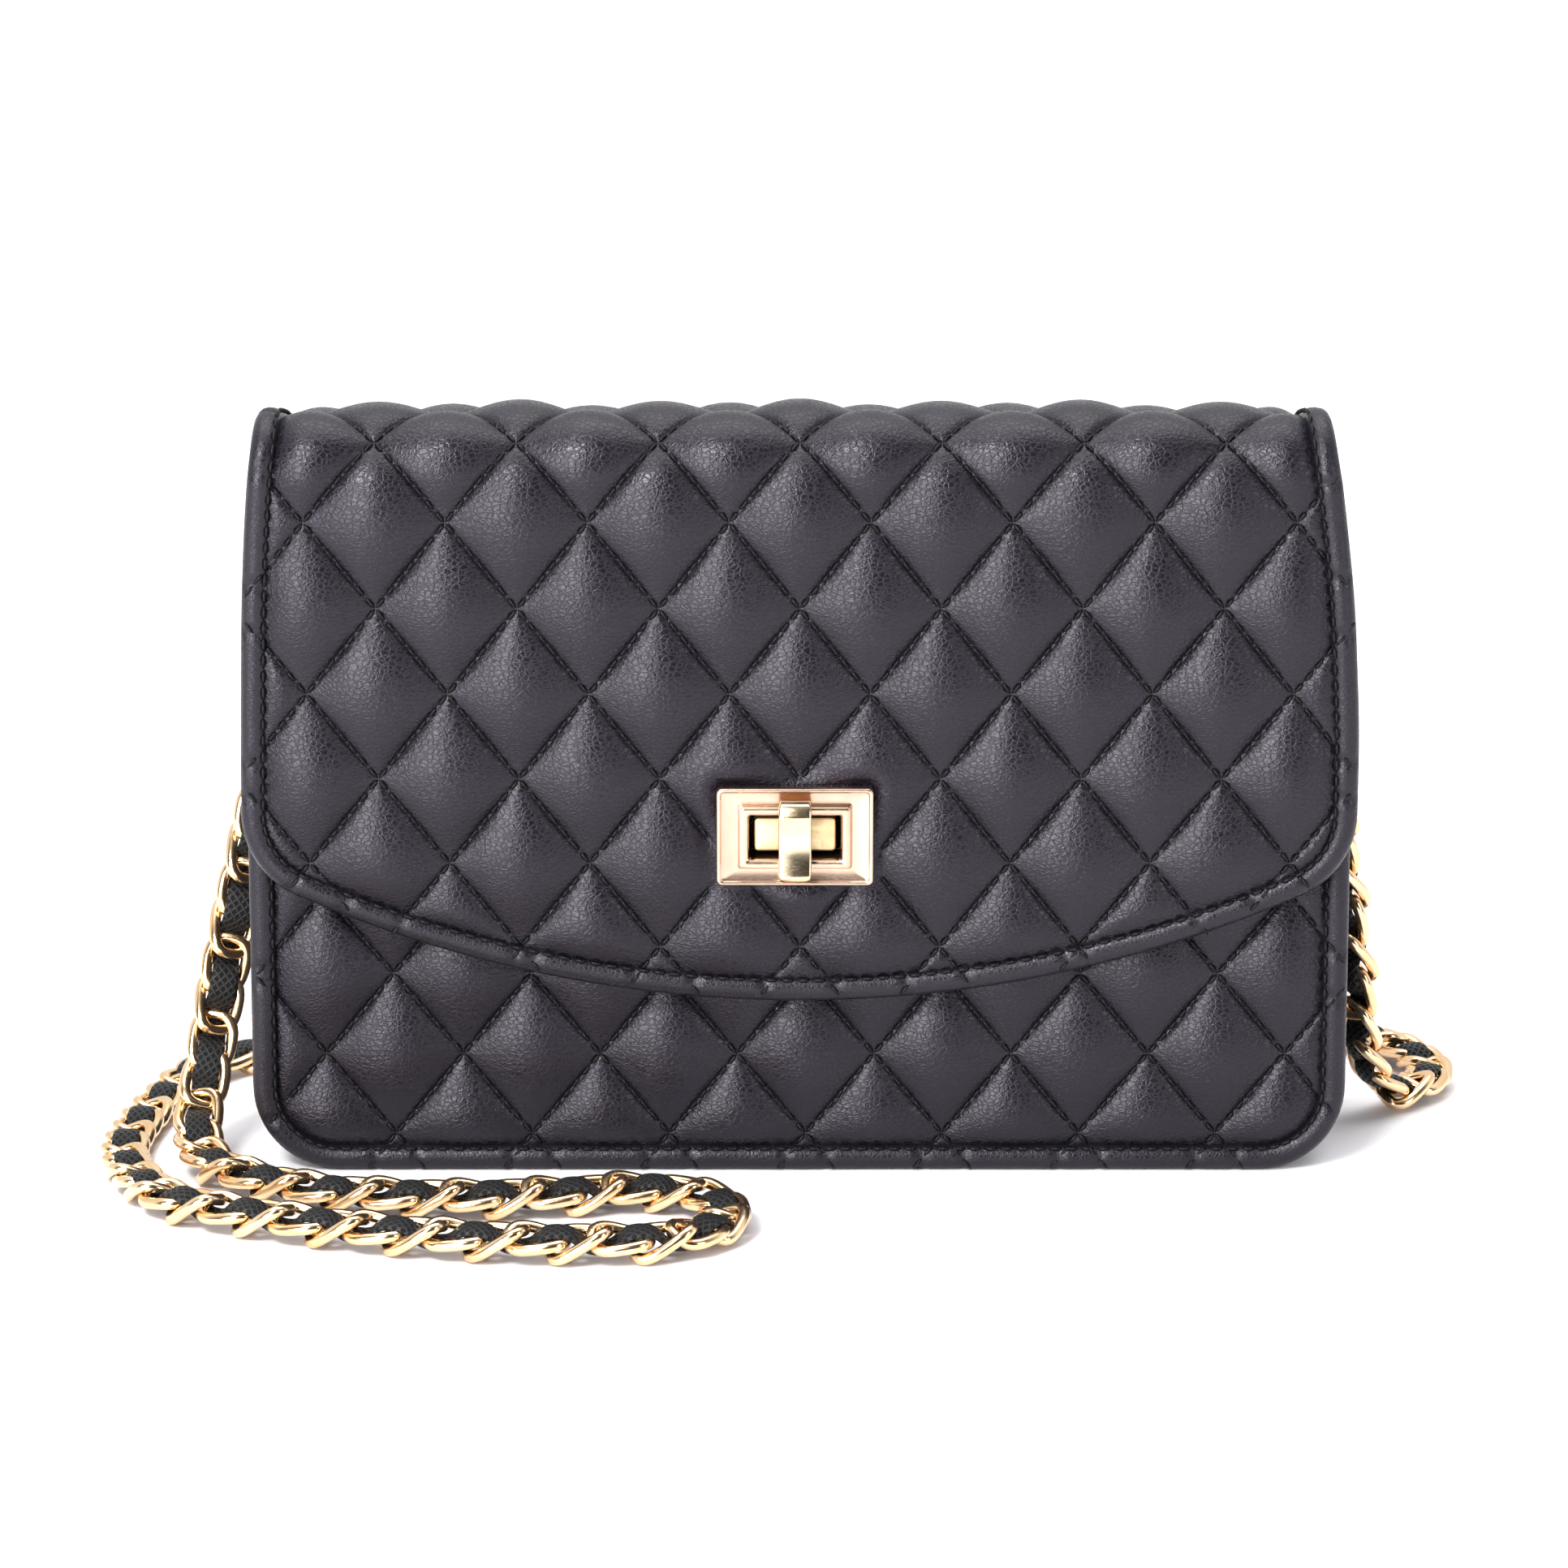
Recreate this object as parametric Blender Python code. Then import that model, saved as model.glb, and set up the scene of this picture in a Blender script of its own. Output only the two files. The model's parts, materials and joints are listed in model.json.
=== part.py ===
"""A quilted crossbody purse: a soft box body, a padded flap that folds at two edges,
a turn lock, and a chain strap that hangs from a D-ring at each side.

Metres, +Z up, the front faces -Y, and the origin is the middle of the base, on the
surface that the purse stands on.
"""

import math

import bmesh
import bpy
from mathutils import Vector

# ---- driving dimensions (metres) ----
GAP = 0.0003                  # air between pieces that touch

BODY_WIDTH = 0.203            # over the bindings
BODY_DEPTH = 0.050            # leather face to leather face
FRONT_HEIGHT = 0.1270         # top edge of the front panel
BACK_HEIGHT = 0.1195          # top edge of the back panel, just under the flap's fold
GUSSET_FRONT_HEIGHT = 0.1270  # the sides' top edges slope down to the back
GUSSET_BACK_HEIGHT = 0.1187
CORNER_RADIUS = 0.016         # lower corners, over the bindings
BINDING_WIDTH = 0.0042
BINDING_DEPTH = 0.0037

LEATHER = 0.0013
PADDING = 0.0023
LINING = 0.0010
BODY_PADDING = 0.0025

GUSSET_THICKNESS = 0.0015
GUSSET_INSET = 0.0012         # how far the gusset sits inside the bindings
FOLD_DEPTH = 0.009            # how far each side tucks in
FOLD_FLAT = 0.006             # half width of the flat valley of the tuck
FOLD_START = 0.016            # height where the tuck begins
FOLD_FULL = 0.060             # height where it is full
FOLD_STEPS = 6                # levels from its start to its full depth
LINING_SLACK = 0.0014         # between the tucked sides and the loose lining
BOARD_THICKNESS = 0.0015
BOARD_MARGIN = 0.001          # between the base board and the panels
POCKET_WIDTH = 0.116
POCKET_LOW = 0.046
POCKET_HIGH = 0.104
POCKET_ROOM = 0.0046          # depth inside the slip pocket
POCKET_WALL = 0.0006

TOTAL_HEIGHT = 0.141
BACK_DROP = 0.0085            # how far the flap's top slopes down to the back
FRONT_FOLD_RADIUS = 0.0108
BACK_FOLD_RADIUS = 0.011
TOP_WIDTH = 0.2000            # over the bindings of the flap's top
FLAP_WIDTH = 0.2040           # over the bindings of the flap's front
FLAP_LOW = 0.0342             # lowest point of the flap, in the middle
FLAP_SWEEP_RADIUS = 0.2225    # the long curve of the flap's lower edge
FLAP_CORNER_RADIUS = 0.017
FOLD_GAP = 0.0012             # between the flap's top and its front, over their fold
FLAP_TO_BODY = 0.0006

LOCK_X = -0.0008              # the lock sits a little off the middle
LOCK_HEIGHT = 0.0664
FRAME_WIDTH = 0.0286
FRAME_HEIGHT = 0.0182
WINDOW_WIDTH = 0.0168
WINDOW_HEIGHT = 0.0082
FRAME_DEPTH = 0.0037
FRAME_LIP = 0.0016            # width of the raised lip round the window
FRAME_BEVEL = 0.0003
BACK_FRAME_DEPTH = 0.0008
BOSS_WIDTH = 0.0150
BOSS_HEIGHT = 0.0063
BOSS_DEPTH = 0.0065
BOSS_EDGE = 0.0004
WASHER_DEPTH = 0.0007
KNOB_WIDTH = 0.0060
KNOB_LENGTH = 0.0143
KNOB_DEPTH = 0.0040
KNOB_SCOOP = 0.0016           # how far the middle of the knob's face is hollowed
KNOB_EDGE = 0.0003
KNOB_TIP = 0.0007             # how far the ends of its face are rounded off
SHAFT_RADIUS = 0.0015
NECK_RADIUS = 0.0025
RIVET_RADIUS = 0.0023
RIVET_DEPTH = 0.0008

TAB_WIDTH = 0.009
TAB_LOOP_RADIUS = 0.0034
TAB_NECK = 0.0013             # half thickness of the tab between its loop and its foot
TAB_FOOT = 0.0014             # thickness of its foot on the side's wall
TAB_REACH = (0.002, 0.0125)    # how far its foot runs above and below the ring's bar
RING_WIRE_RADIUS = 0.0010
RING_BAR_HALF = 0.0062        # half of the D-ring's bar, to its wire's centreline
RING_DROP = 0.0120            # bar to bow, between wire centrelines
RING_CORNER = 0.0016
RING_X = 0.0975
RING_Z = 0.1220

STRAP_WIDTH = 0.0093

# ---- derived places ----
HALF_BODY = BODY_WIDTH / 2
FRONT_Y = -BODY_DEPTH / 2
BACK_Y = BODY_DEPTH / 2
GUSSET_X = HALF_BODY - GUSSET_INSET
GUSSET_Y = BODY_DEPTH / 2 - BINDING_DEPTH - GAP
FLAP_LAYERS = LEATHER + GAP + PADDING + GAP + LINING
FLAP_Y = FRONT_Y - FLAP_TO_BODY - FLAP_LAYERS
FRONT_FOLD_Y = FLAP_Y + FRONT_FOLD_RADIUS
FRONT_FOLD_Z = TOTAL_HEIGHT - FRONT_FOLD_RADIUS
BACK_FOLD_Y = BACK_Y - BACK_FOLD_RADIUS
BACK_FOLD_Z = TOTAL_HEIGHT - BACK_DROP - BACK_FOLD_RADIUS
BACK_HINGE = (0.0, BACK_Y - LEATHER / 2, (BACK_FOLD_Z + BACK_HEIGHT) / 2)
FRONT_HINGE = (0.0, FRONT_FOLD_Y, TOTAL_HEIGHT - LEATHER / 2)
SPLIT_Y = FRONT_FOLD_Y        # the flap's top ends here, and its front begins
TOP_SLOPE = math.degrees(math.atan2(BACK_DROP, BACK_FOLD_Y - SPLIT_Y))
LINING_Y = BACK_Y - LEATHER - BODY_PADDING - 2 * GAP


# ---- small helpers ----
def clear_scene():
    for item in list(bpy.data.objects):
        bpy.data.objects.remove(item, do_unlink=True)


def material(name, colour, roughness, metallic=0.0):
    made = bpy.data.materials.new(name)
    made.use_nodes = True
    shader = made.node_tree.nodes["Principled BSDF"]
    shader.inputs["Base Color"].default_value = (*colour, 1.0)
    shader.inputs["Roughness"].default_value = roughness
    shader.inputs["Metallic"].default_value = metallic
    return made


def finish_mesh(name, bm, mat, origin=(0.0, 0.0, 0.0), smooth_deg=None):
    """Make an object of this mesh, which is drawn in world space, with its origin moved."""
    bmesh.ops.recalc_face_normals(bm, faces=bm.faces)
    bmesh.ops.translate(bm, verts=bm.verts, vec=-Vector(origin))
    mesh = bpy.data.meshes.new(name)
    bm.to_mesh(mesh)
    bm.free()
    mesh.materials.append(mat)
    if smooth_deg is not None:
        mesh.shade_smooth()
        mesh.set_sharp_from_angle(angle=math.radians(smooth_deg))
    made = bpy.data.objects.new(name, mesh)
    made.location = origin
    bpy.context.scene.collection.objects.link(made)
    return made


def grid_solid(name, outer, inner, mat, **finish):
    """A sheet with thickness: two grids of points of one size, sewn together at their rims."""
    bm = bmesh.new()
    rows, columns = len(outer), len(outer[0])
    sides = [[[bm.verts.new(p) for p in row] for row in grid] for grid in (outer, inner)]
    for side in sides:
        for r in range(rows - 1):
            for c in range(columns - 1):
                bm.faces.new((side[r][c], side[r][c + 1], side[r + 1][c + 1], side[r + 1][c]))
    rim = [(0, c) for c in range(columns)]
    rim += [(r, columns - 1) for r in range(1, rows)]
    rim += [(rows - 1, c) for c in range(columns - 2, -1, -1)]
    rim += [(r, 0) for r in range(rows - 2, 0, -1)]
    for (r0, c0), (r1, c1) in zip(rim, rim[1:] + rim[:1]):
        bm.faces.new((sides[0][r0][c0], sides[0][r1][c1], sides[1][r1][c1], sides[1][r0][c0]))
    return finish_mesh(name, bm, mat, **finish)


def loft(name, loops, mat, closed=False, **finish):
    """Closed loops of equal length joined in order, and capped, or joined last to first."""
    bm = bmesh.new()
    rings = [[bm.verts.new(p) for p in loop] for loop in loops]
    pairs = list(zip(rings, rings[1:]))
    if closed:
        pairs.append((rings[-1], rings[0]))
    else:
        bm.faces.new(rings[0])
        bm.faces.new(rings[-1])
    count = len(loops[0])
    for low, high in pairs:
        for i in range(count):
            j = (i + 1) % count
            bm.faces.new((low[i], low[j], high[j], high[i]))
    return finish_mesh(name, bm, mat, **finish)


def arc(centre, radius, start_deg, end_deg, steps):
    """Points (u, v) along an arc, both ends included."""
    points = []
    for i in range(steps + 1):
        turn = math.radians(start_deg + (end_deg - start_deg) * i / steps)
        points.append((centre[0] + radius * math.cos(turn), centre[1] + radius * math.sin(turn)))
    return points


def rounded_rectangle(width, height, radius, steps=3):
    """Corner-rounded loop (u, v) about the origin, starting at its right side."""
    loop = []
    for turn, (side, up) in enumerate(((1, 1), (-1, 1), (-1, -1), (1, -1))):
        centre = (side * (width / 2 - radius), up * (height / 2 - radius))
        loop += arc(centre, radius, 90 * turn, 90 * turn + 90, steps)
    return loop


def at_lock(loop, y):
    """A loop (u, v) stood up round the lock's centre, at a depth y."""
    return [(LOCK_X + u, y, LOCK_HEIGHT + v) for u, v in loop]


def plate(name, outline, y_front, y_back, mat, **finish):
    """An outline (x, z) extruded from y_front to y_back."""
    loops = [[(x, y, z) for x, z in outline] for y in (y_front, y_back)]
    return loft(name, loops, mat, **finish)


def cut(target, cutter):
    """Subtract a cutter from a target, and keep the cutter out of the model."""
    cutter.hide_render = True
    cutter.display_type = "WIRE"
    hole = target.modifiers.new("cut_" + cutter.name, "BOOLEAN")
    hole.operation = "DIFFERENCE"
    hole.solver = "EXACT"
    hole.object = cutter


# ---- outlines ----
def body_path(offset, top):
    """The body's side, bottom and side as seen from the front, inset by an offset."""
    half = HALF_BODY - offset
    radius = CORNER_RADIUS - offset
    right = arc((HALF_BODY - CORNER_RADIUS, CORNER_RADIUS), radius, 0, -90, 8)
    left = arc((CORNER_RADIUS - HALF_BODY, CORNER_RADIUS), radius, -90, -180, 8)
    return [(half, top)] + right + left + [(-half, top)]


def flap_corner():
    """Centre of the flap's lower right corner, and the turn where its long curve begins."""
    x = FLAP_WIDTH / 2 - FLAP_CORNER_RADIUS
    sweep_z = FLAP_LOW + FLAP_SWEEP_RADIUS
    reach = FLAP_SWEEP_RADIUS - FLAP_CORNER_RADIUS
    return x, sweep_z - math.sqrt(reach ** 2 - x ** 2), math.degrees(math.asin(x / reach))


def flap_edge(offset):
    """The flap's lower edge (x, z), from its right side to its left, inset by an offset."""
    x, z, lean = flap_corner()
    corner = arc((x, z), FLAP_CORNER_RADIUS - offset, 0, lean - 90, 7)
    centre = (0.0, FLAP_LOW + FLAP_SWEEP_RADIUS)
    sweep = arc(centre, FLAP_SWEEP_RADIUS - offset, lean - 90, -90, 8)
    right = corner + sweep[1:]
    return right + [(-px, pz) for px, pz in reversed(right[:-1])]


def top_profile(depth):
    """The flap's top (y, z) at a depth below its outer face, from the back fold forwards."""
    back = arc((BACK_FOLD_Y, BACK_FOLD_Z), BACK_FOLD_RADIUS - depth, 0, 90 - TOP_SLOPE, 7)
    return back + [(SPLIT_Y + FOLD_GAP / 2, TOTAL_HEIGHT - depth)]


def fold_profile(depth):
    """The flap's front fold (y, z) at a depth below its outer face, from the top down."""
    lead = (SPLIT_Y - FOLD_GAP / 2, TOTAL_HEIGHT - depth)
    radius = FRONT_FOLD_RADIUS - depth
    turns = [p for p in arc((FRONT_FOLD_Y, FRONT_FOLD_Z), radius, 90, 180, 8) if p[0] < lead[0]]
    return [lead] + turns


def tuck(y, z):
    """How far the side is tucked in at a depth y and a height z."""
    rise = min(max((z - FOLD_START) / (FOLD_FULL - FOLD_START), 0.0), 1.0)
    rise = rise * rise * (3 - 2 * rise)
    slope = (abs(y) - FOLD_FLAT) / (GUSSET_Y - FOLD_FLAT)
    return FOLD_DEPTH * rise * (1.0 - min(max(slope, 0.0), 1.0))


def side_levels(y, below=0.0):
    """Heights at a depth y that follow the tuck, up to a distance below the side's top edge."""
    start = CORNER_RADIUS + GAP
    rise = [start + (FOLD_FULL - start) * i / FOLD_STEPS for i in range(FOLD_STEPS + 1)]
    middle = (GUSSET_FRONT_HEIGHT + GUSSET_BACK_HEIGHT) / 2
    slope = (GUSSET_BACK_HEIGHT - GUSSET_FRONT_HEIGHT) / (2 * GUSSET_Y)
    return rise + [middle + slope * y - below]


# ---- body ----
def make_panel(side, mats):
    """Front (side -1) or back (side 1): quilted leather over padding, with its binding."""
    name = "front" if side < 0 else "back"
    top = FRONT_HEIGHT if side < 0 else BACK_HEIGHT
    face = side * BODY_DEPTH / 2
    inner = body_path(BINDING_WIDTH + GAP, top)
    leather = plate(name + "_leather", inner, face, face - side * LEATHER, mats["leather"])
    padded = face - side * (LEATHER + GAP)
    padding = plate(
        name + "_padding", inner, padded, padded - side * BODY_PADDING, mats["padding"]
    )
    loops = []
    for (xo, zo), (xi, zi) in zip(body_path(0.0, top), body_path(BINDING_WIDTH, top)):
        back = face - side * BINDING_DEPTH
        loops.append([(xo, face, zo), (xi, face, zi), (xi, back, zi), (xo, back, zo)])
    loft(name + "_binding", loops, mats["leather"])
    return leather, padding


def make_gusset_side(side, mats):
    """One tucked side of the body, from the corner's start to the top."""
    depths = [-GUSSET_Y, -FOLD_FLAT, FOLD_FLAT, GUSSET_Y]
    rows = list(zip(*(side_levels(y) for y in depths)))
    grids = []
    for inset in (0.0, GUSSET_THICKNESS):
        x = GUSSET_X - inset
        grids.append([
            [(side * (x - tuck(y, z)), y, z) for y, z in zip(depths, heights)] for heights in rows
        ])
    name = "gusset_left" if side < 0 else "gusset_right"
    grid_solid(name, *grids, mats["leather"])


def make_bottom(mats):
    """The strip under the body, which turns up round both lower corners."""
    radius = CORNER_RADIUS - GUSSET_INSET
    grids = []
    for inset in (0.0, GUSSET_THICKNESS):
        centre = GUSSET_X - radius
        path = arc((centre, radius), radius - inset, 0, -90, 6)
        path += [(-x, z) for x, z in reversed(path)]
        grids.append([[(x, y, z) for y in (-GUSSET_Y, GUSSET_Y)] for x, z in path])
    grid_solid("bottom_panel", *grids, mats["leather"])

    board_z = GUSSET_THICKNESS + GAP
    half = HALF_BODY - CORNER_RADIUS - 4 * BOARD_MARGIN
    board_top = board_z + BOARD_THICKNESS
    outline = [(half, board_z), (half, board_top), (-half, board_top), (-half, board_z)]
    board_y = GUSSET_Y - BOARD_MARGIN
    plate("base_board", outline, -board_y, board_y, mats["board"])


def lining_loops(inset, floor):
    """The lining's levels, as loops seen from above, inset from its outer face."""
    radius = CORNER_RADIUS - GUSSET_INSET - GUSSET_THICKNESS
    y_face = LINING_Y - inset
    steps = [-y_face, -FOLD_FLAT, FOLD_FLAT, y_face]
    low = [floor + rise for rise in (0.0, 0.0012, 0.0040, 0.0080)]
    loops = []
    for heights in zip(*(low + side_levels(y, LINING) for y in steps)):
        right = []
        for y, z in zip(steps, heights):
            lift = max(radius - (z - floor), 0.0)
            turn_in = radius - math.sqrt(radius ** 2 - lift ** 2)
            x = GUSSET_X - GUSSET_THICKNESS - LINING_SLACK - inset - turn_in - tuck(y, z)
            right.append((x, y, z))
        loops.append(right + [(-x, y, z) for x, y, z in reversed(right)])
    return loops


def make_lining(mats):
    """The cloth lining: one open bag inside the body."""
    floor = GUSSET_THICKNESS + BOARD_THICKNESS + 2 * GAP
    outer = lining_loops(0.0, floor)
    inner = lining_loops(LINING, floor + LINING)
    loft("lining", outer + inner[::-1], mats["lining"])


def make_slip_pocket(mats):
    """An open pocket sewn to the inside of the back wall."""
    back = LINING_Y - LINING - GAP
    front = back - POCKET_ROOM - 2 * POCKET_WALL
    levels = (
        (POCKET_LOW, 0.0), (POCKET_HIGH, 0.0),
        (POCKET_HIGH, POCKET_WALL), (POCKET_LOW + POCKET_WALL, POCKET_WALL),
    )
    loops = []
    for z, inset in levels:
        x = POCKET_WIDTH / 2 - inset
        y0, y1 = front + inset, back - inset
        loops.append([(x, y0, z), (x, y1, z), (-x, y1, z), (-x, y0, z)])
    loft("slip_pocket", loops, mats["lining"])


# ---- flap ----
def make_flap_top(mats):
    """The strip over the top: three layers and a binding along each end."""
    half = TOP_WIDTH / 2 - BINDING_WIDTH - GAP
    depth = 0.0
    for part, thick, mat in (
        ("leather", LEATHER, "leather"), ("padding", PADDING, "padding"), ("lining", LINING, "lining"),
    ):
        grids = []
        for below in (depth, depth + thick):
            profile = top_profile(below)
            grids.append([[(x, y, z) for x in (-half, half)] for y, z in profile])
        grid_solid("flap_top_" + part, *grids, mats[mat], origin=BACK_HINGE)
        depth += thick + GAP
    for side, name in ((-1, "left"), (1, "right")):
        xs = (side * TOP_WIDTH / 2, side * (TOP_WIDTH / 2 - BINDING_WIDTH))
        grids = []
        for below in (0.0, FLAP_LAYERS):
            grids.append([[(x, y, z) for x in xs] for y, z in top_profile(below)])
        grid_solid("flap_top_binding_" + name, *grids, mats["leather"], origin=BACK_HINGE)


def flap_sheet(depth, offset):
    """The flap's front at a depth below its outer face: fold rows, then rows to its edge."""
    edge = flap_edge(offset)
    y = FLAP_Y + depth
    rows = [[(x, py, pz) for x, _ in edge] for py, pz in fold_profile(depth)]
    for part in (1 / 3, 2 / 3, 1.0):
        rows.append([(x, y, FRONT_FOLD_Z + (z - FRONT_FOLD_Z) * part) for x, z in edge])
    return rows


def make_flap_front(mats, cutters):
    """The flap's front: three layers, cut away behind the lock, and one binding round them."""
    depth = 0.0
    for part, thick, mat in (
        ("leather", LEATHER, "leather"), ("padding", PADDING, "padding"), ("lining", LINING, "lining"),
    ):
        offset = BINDING_WIDTH + GAP
        sheet = grid_solid(
            "flap_front_" + part, flap_sheet(depth, offset), flap_sheet(depth + thick, offset),
            mats[mat], origin=FRONT_HINGE,
        )
        cut(sheet, cutters["frame" if part == "lining" else "window"])
        depth += thick + GAP

    half = FLAP_WIDTH / 2
    loops = []
    for outer, inner in zip(fold_profile(0.0), fold_profile(FLAP_LAYERS)):
        loops.append([
            (half, *outer), (half - BINDING_WIDTH, *outer),
            (half - BINDING_WIDTH, *inner), (half, *inner),
        ])
    back = FLAP_Y + FLAP_LAYERS
    edge = []
    for (xo, zo), (xi, zi) in zip(flap_edge(0.0), flap_edge(BINDING_WIDTH)):
        edge.append([(xo, FLAP_Y, zo), (xi, FLAP_Y, zi), (xi, back, zi), (xo, back, zo)])
    left = [[(-x, y, z) for x, y, z in loop] for loop in reversed(loops)]
    loft("flap_front_binding", loops + edge + left, mats["leather"], origin=FRONT_HINGE)


# ---- turn lock ----
def lock_cutters():
    """The openings that the lock needs in the layers round it."""
    clear = 2 * GAP
    sizes = {
        "window": (WINDOW_WIDTH + clear, WINDOW_HEIGHT + clear, 0.0010, FLAP_Y - 0.002, FRONT_Y - GAP),
        "frame": (FRAME_WIDTH + clear, FRAME_HEIGHT + clear, 0.0010, FRONT_Y - 0.0018, FRONT_Y - GAP),
        "washer": (BOSS_WIDTH + clear, BOSS_HEIGHT + clear, 0.0008, FRONT_Y + LEATHER, 0.0),
    }
    made = {}
    for name, (width, height, radius, y0, y1) in sizes.items():
        loop = rounded_rectangle(width, height, radius)
        made[name] = loft("cutter_" + name, [at_lock(loop, y0), at_lock(loop, y1)], CUTTER)
    ring = arc((0.0, 0.0), SHAFT_RADIUS + GAP, 0, 360, 24)[:-1]
    made["shaft"] = loft("cutter_shaft", [at_lock(ring, FLAP_Y - 0.01), at_lock(ring, 0.0)], CUTTER)
    return made


def make_lock_frame(mats):
    """The frame on the flap: an outer rim, slopes, and a raised lip round its window."""
    back = FLAP_Y - GAP
    front = back - FRAME_DEPTH
    bevel, lip = FRAME_BEVEL, 2 * FRAME_LIP
    rim, window = (FRAME_WIDTH, FRAME_HEIGHT), (WINDOW_WIDTH, WINDOW_HEIGHT)
    levels = (  # a size, how much is added to it, and the depth
        (rim, 0.0, back),
        (rim, 0.0, front + 3 * bevel),
        (rim, -2 * bevel, front + 2 * bevel),
        (rim, -5 * bevel, front + 2 * bevel),
        (window, lip + 3 * bevel, front + 6 * bevel),
        (window, lip, front + bevel),
        (window, lip - 2 * bevel, front),
        (window, 2 * bevel, front),
        (window, 0.0, front + bevel),
        (window, 0.0, back),
    )
    loops = []
    for (width, height), more, y in levels:
        corner = 0.0009 if width == FRAME_WIDTH and more == 0.0 else 0.0005
        loops.append(at_lock(rounded_rectangle(width + more, height + more, corner), y))
    loft("lock_frame", loops, mats["gold"], closed=True, origin=FRONT_HINGE)

    near = FLAP_Y + FLAP_LAYERS
    far = near - BACK_FRAME_DEPTH
    outline = rounded_rectangle(*rim, 0.0009)
    hole = rounded_rectangle(*window, 0.0005)
    loops = [at_lock(outline, near), at_lock(outline, far), at_lock(hole, far), at_lock(hole, near)]
    loft("lock_back_frame", loops, mats["gold"], closed=True, origin=FRONT_HINGE)


def make_lock_base(mats, cutters):
    """The boss on the body, which stands through the window, and the washer behind it."""
    back = FRONT_Y - GAP
    front = back - BOSS_DEPTH
    levels = (
        (BOSS_WIDTH, BOSS_HEIGHT, 0.0008, back),
        (BOSS_WIDTH, BOSS_HEIGHT, 0.0008, front + BOSS_EDGE),
        (BOSS_WIDTH - 2 * BOSS_EDGE, BOSS_HEIGHT - 2 * BOSS_EDGE, 0.0005, front),
    )
    loops = [at_lock(rounded_rectangle(w, h, r), y) for w, h, r, y in levels]
    cut(loft("lock_base", loops, mats["gold"]), cutters["shaft"])
    loop = rounded_rectangle(BOSS_WIDTH, BOSS_HEIGHT, 0.0008)
    washer_y = FRONT_Y + LEATHER + 2 * GAP
    ends = [at_lock(loop, washer_y), at_lock(loop, washer_y + WASHER_DEPTH)]
    cut(loft("lock_washer", ends, mats["gold"]), cutters["shaft"])


def make_knob(mats):
    """The turning bar, upright when locked, and the spindle that carries it."""
    centre = (LOCK_X, FRONT_Y, LOCK_HEIGHT)
    back = FLAP_Y - GAP - FRAME_DEPTH - GAP
    front = back - KNOB_DEPTH
    rows = 12
    loops = []
    for i in range(rows + 1):
        v = -1 + 2 * i / rows
        half = KNOB_WIDTH / 2 - KNOB_EDGE * abs(v) ** 6
        z = LOCK_HEIGHT + v * KNOB_LENGTH / 2
        face = front + KNOB_SCOOP * (1 - v * v) + KNOB_TIP * abs(v) ** 8
        loops.append([
            (LOCK_X + u, y, z) for u, y in (
                (-half, back), (-half, face + KNOB_EDGE), (KNOB_EDGE - half, face),
                (half - KNOB_EDGE, face), (half, face + KNOB_EDGE), (half, back),
            )
        ])
    loft("turn_knob", loops, mats["gold"], origin=centre, smooth_deg=35)

    washer_end = FRONT_Y + LEATHER + WASHER_DEPTH + 3 * GAP
    boss_front = FRONT_Y - BOSS_DEPTH - 2 * GAP
    stations = (
        (NECK_RADIUS, back + GAP), (NECK_RADIUS, boss_front),
        (SHAFT_RADIUS, boss_front), (SHAFT_RADIUS, washer_end),
        (RIVET_RADIUS, washer_end), (RIVET_RADIUS, washer_end + RIVET_DEPTH),
    )
    loops = [at_lock(arc((0.0, 0.0), radius, 0, 360, 24)[:-1], y) for radius, y in stations]
    loft("knob_spindle", loops, mats["gold"], origin=centre, smooth_deg=35)


# ---- strap fittings and strap ----
def make_strap_fitting(side, mats):
    """A leather tab sewn into the tuck, folded round a D-ring's bar."""
    name = "left" if side < 0 else "right"
    wall = GUSSET_X - FOLD_DEPTH + GAP
    lean = math.degrees(math.asin(TAB_NECK / TAB_LOOP_RADIUS))
    loop = arc((RING_X, RING_Z), TAB_LOOP_RADIUS, 180 + lean, 540 - lean, 20)
    above, below = TAB_REACH
    foot = [
        (wall + TAB_FOOT, RING_Z + TAB_NECK), (wall + TAB_FOOT, RING_Z + above),
        (wall, RING_Z + above), (wall, RING_Z - below),
        (wall + TAB_FOOT, RING_Z - below), (wall + TAB_FOOT, RING_Z - TAB_NECK),
    ]
    outline = [(side * x, z) for x, z in loop + foot]
    tab = plate("strap_tab_" + name, outline, -TAB_WIDTH / 2, TAB_WIDTH / 2, mats["leather"])
    bore = arc((side * RING_X, RING_Z), RING_WIRE_RADIUS + GAP, 0, 360, 20)[:-1]
    cut(tab, plate("cutter_tab_" + name, bore, -TAB_WIDTH, TAB_WIDTH, CUTTER))

    right = arc((RING_BAR_HALF - RING_CORNER, -RING_CORNER), RING_CORNER, 90, 0, 3)
    bow = []
    for i in range(1, 12):
        turn = math.pi * i / 12
        drop = RING_CORNER + (RING_DROP - RING_CORNER) * math.sin(turn)
        bow.append((RING_BAR_HALF * math.cos(turn), -drop))
    left = [(-y, z) for y, z in reversed(right)]
    path = right + bow + left
    curve = bpy.data.curves.new("d_ring_" + name, "CURVE")
    curve.dimensions = "3D"
    curve.bevel_depth = RING_WIRE_RADIUS
    curve.bevel_resolution = 2
    spline = curve.splines.new("POLY")
    spline.points.add(len(path) - 1)
    for point, (y, z) in zip(spline.points, path):
        point.co = (0.0, y, z, 1.0)
    spline.use_cyclic_u = True
    ring = bpy.data.objects.new("d_ring_" + name, curve)
    ring.location = (side * RING_X, 0.0, RING_Z)
    curve.materials.append(mats["gold"])
    bpy.context.scene.collection.objects.link(ring)


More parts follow.
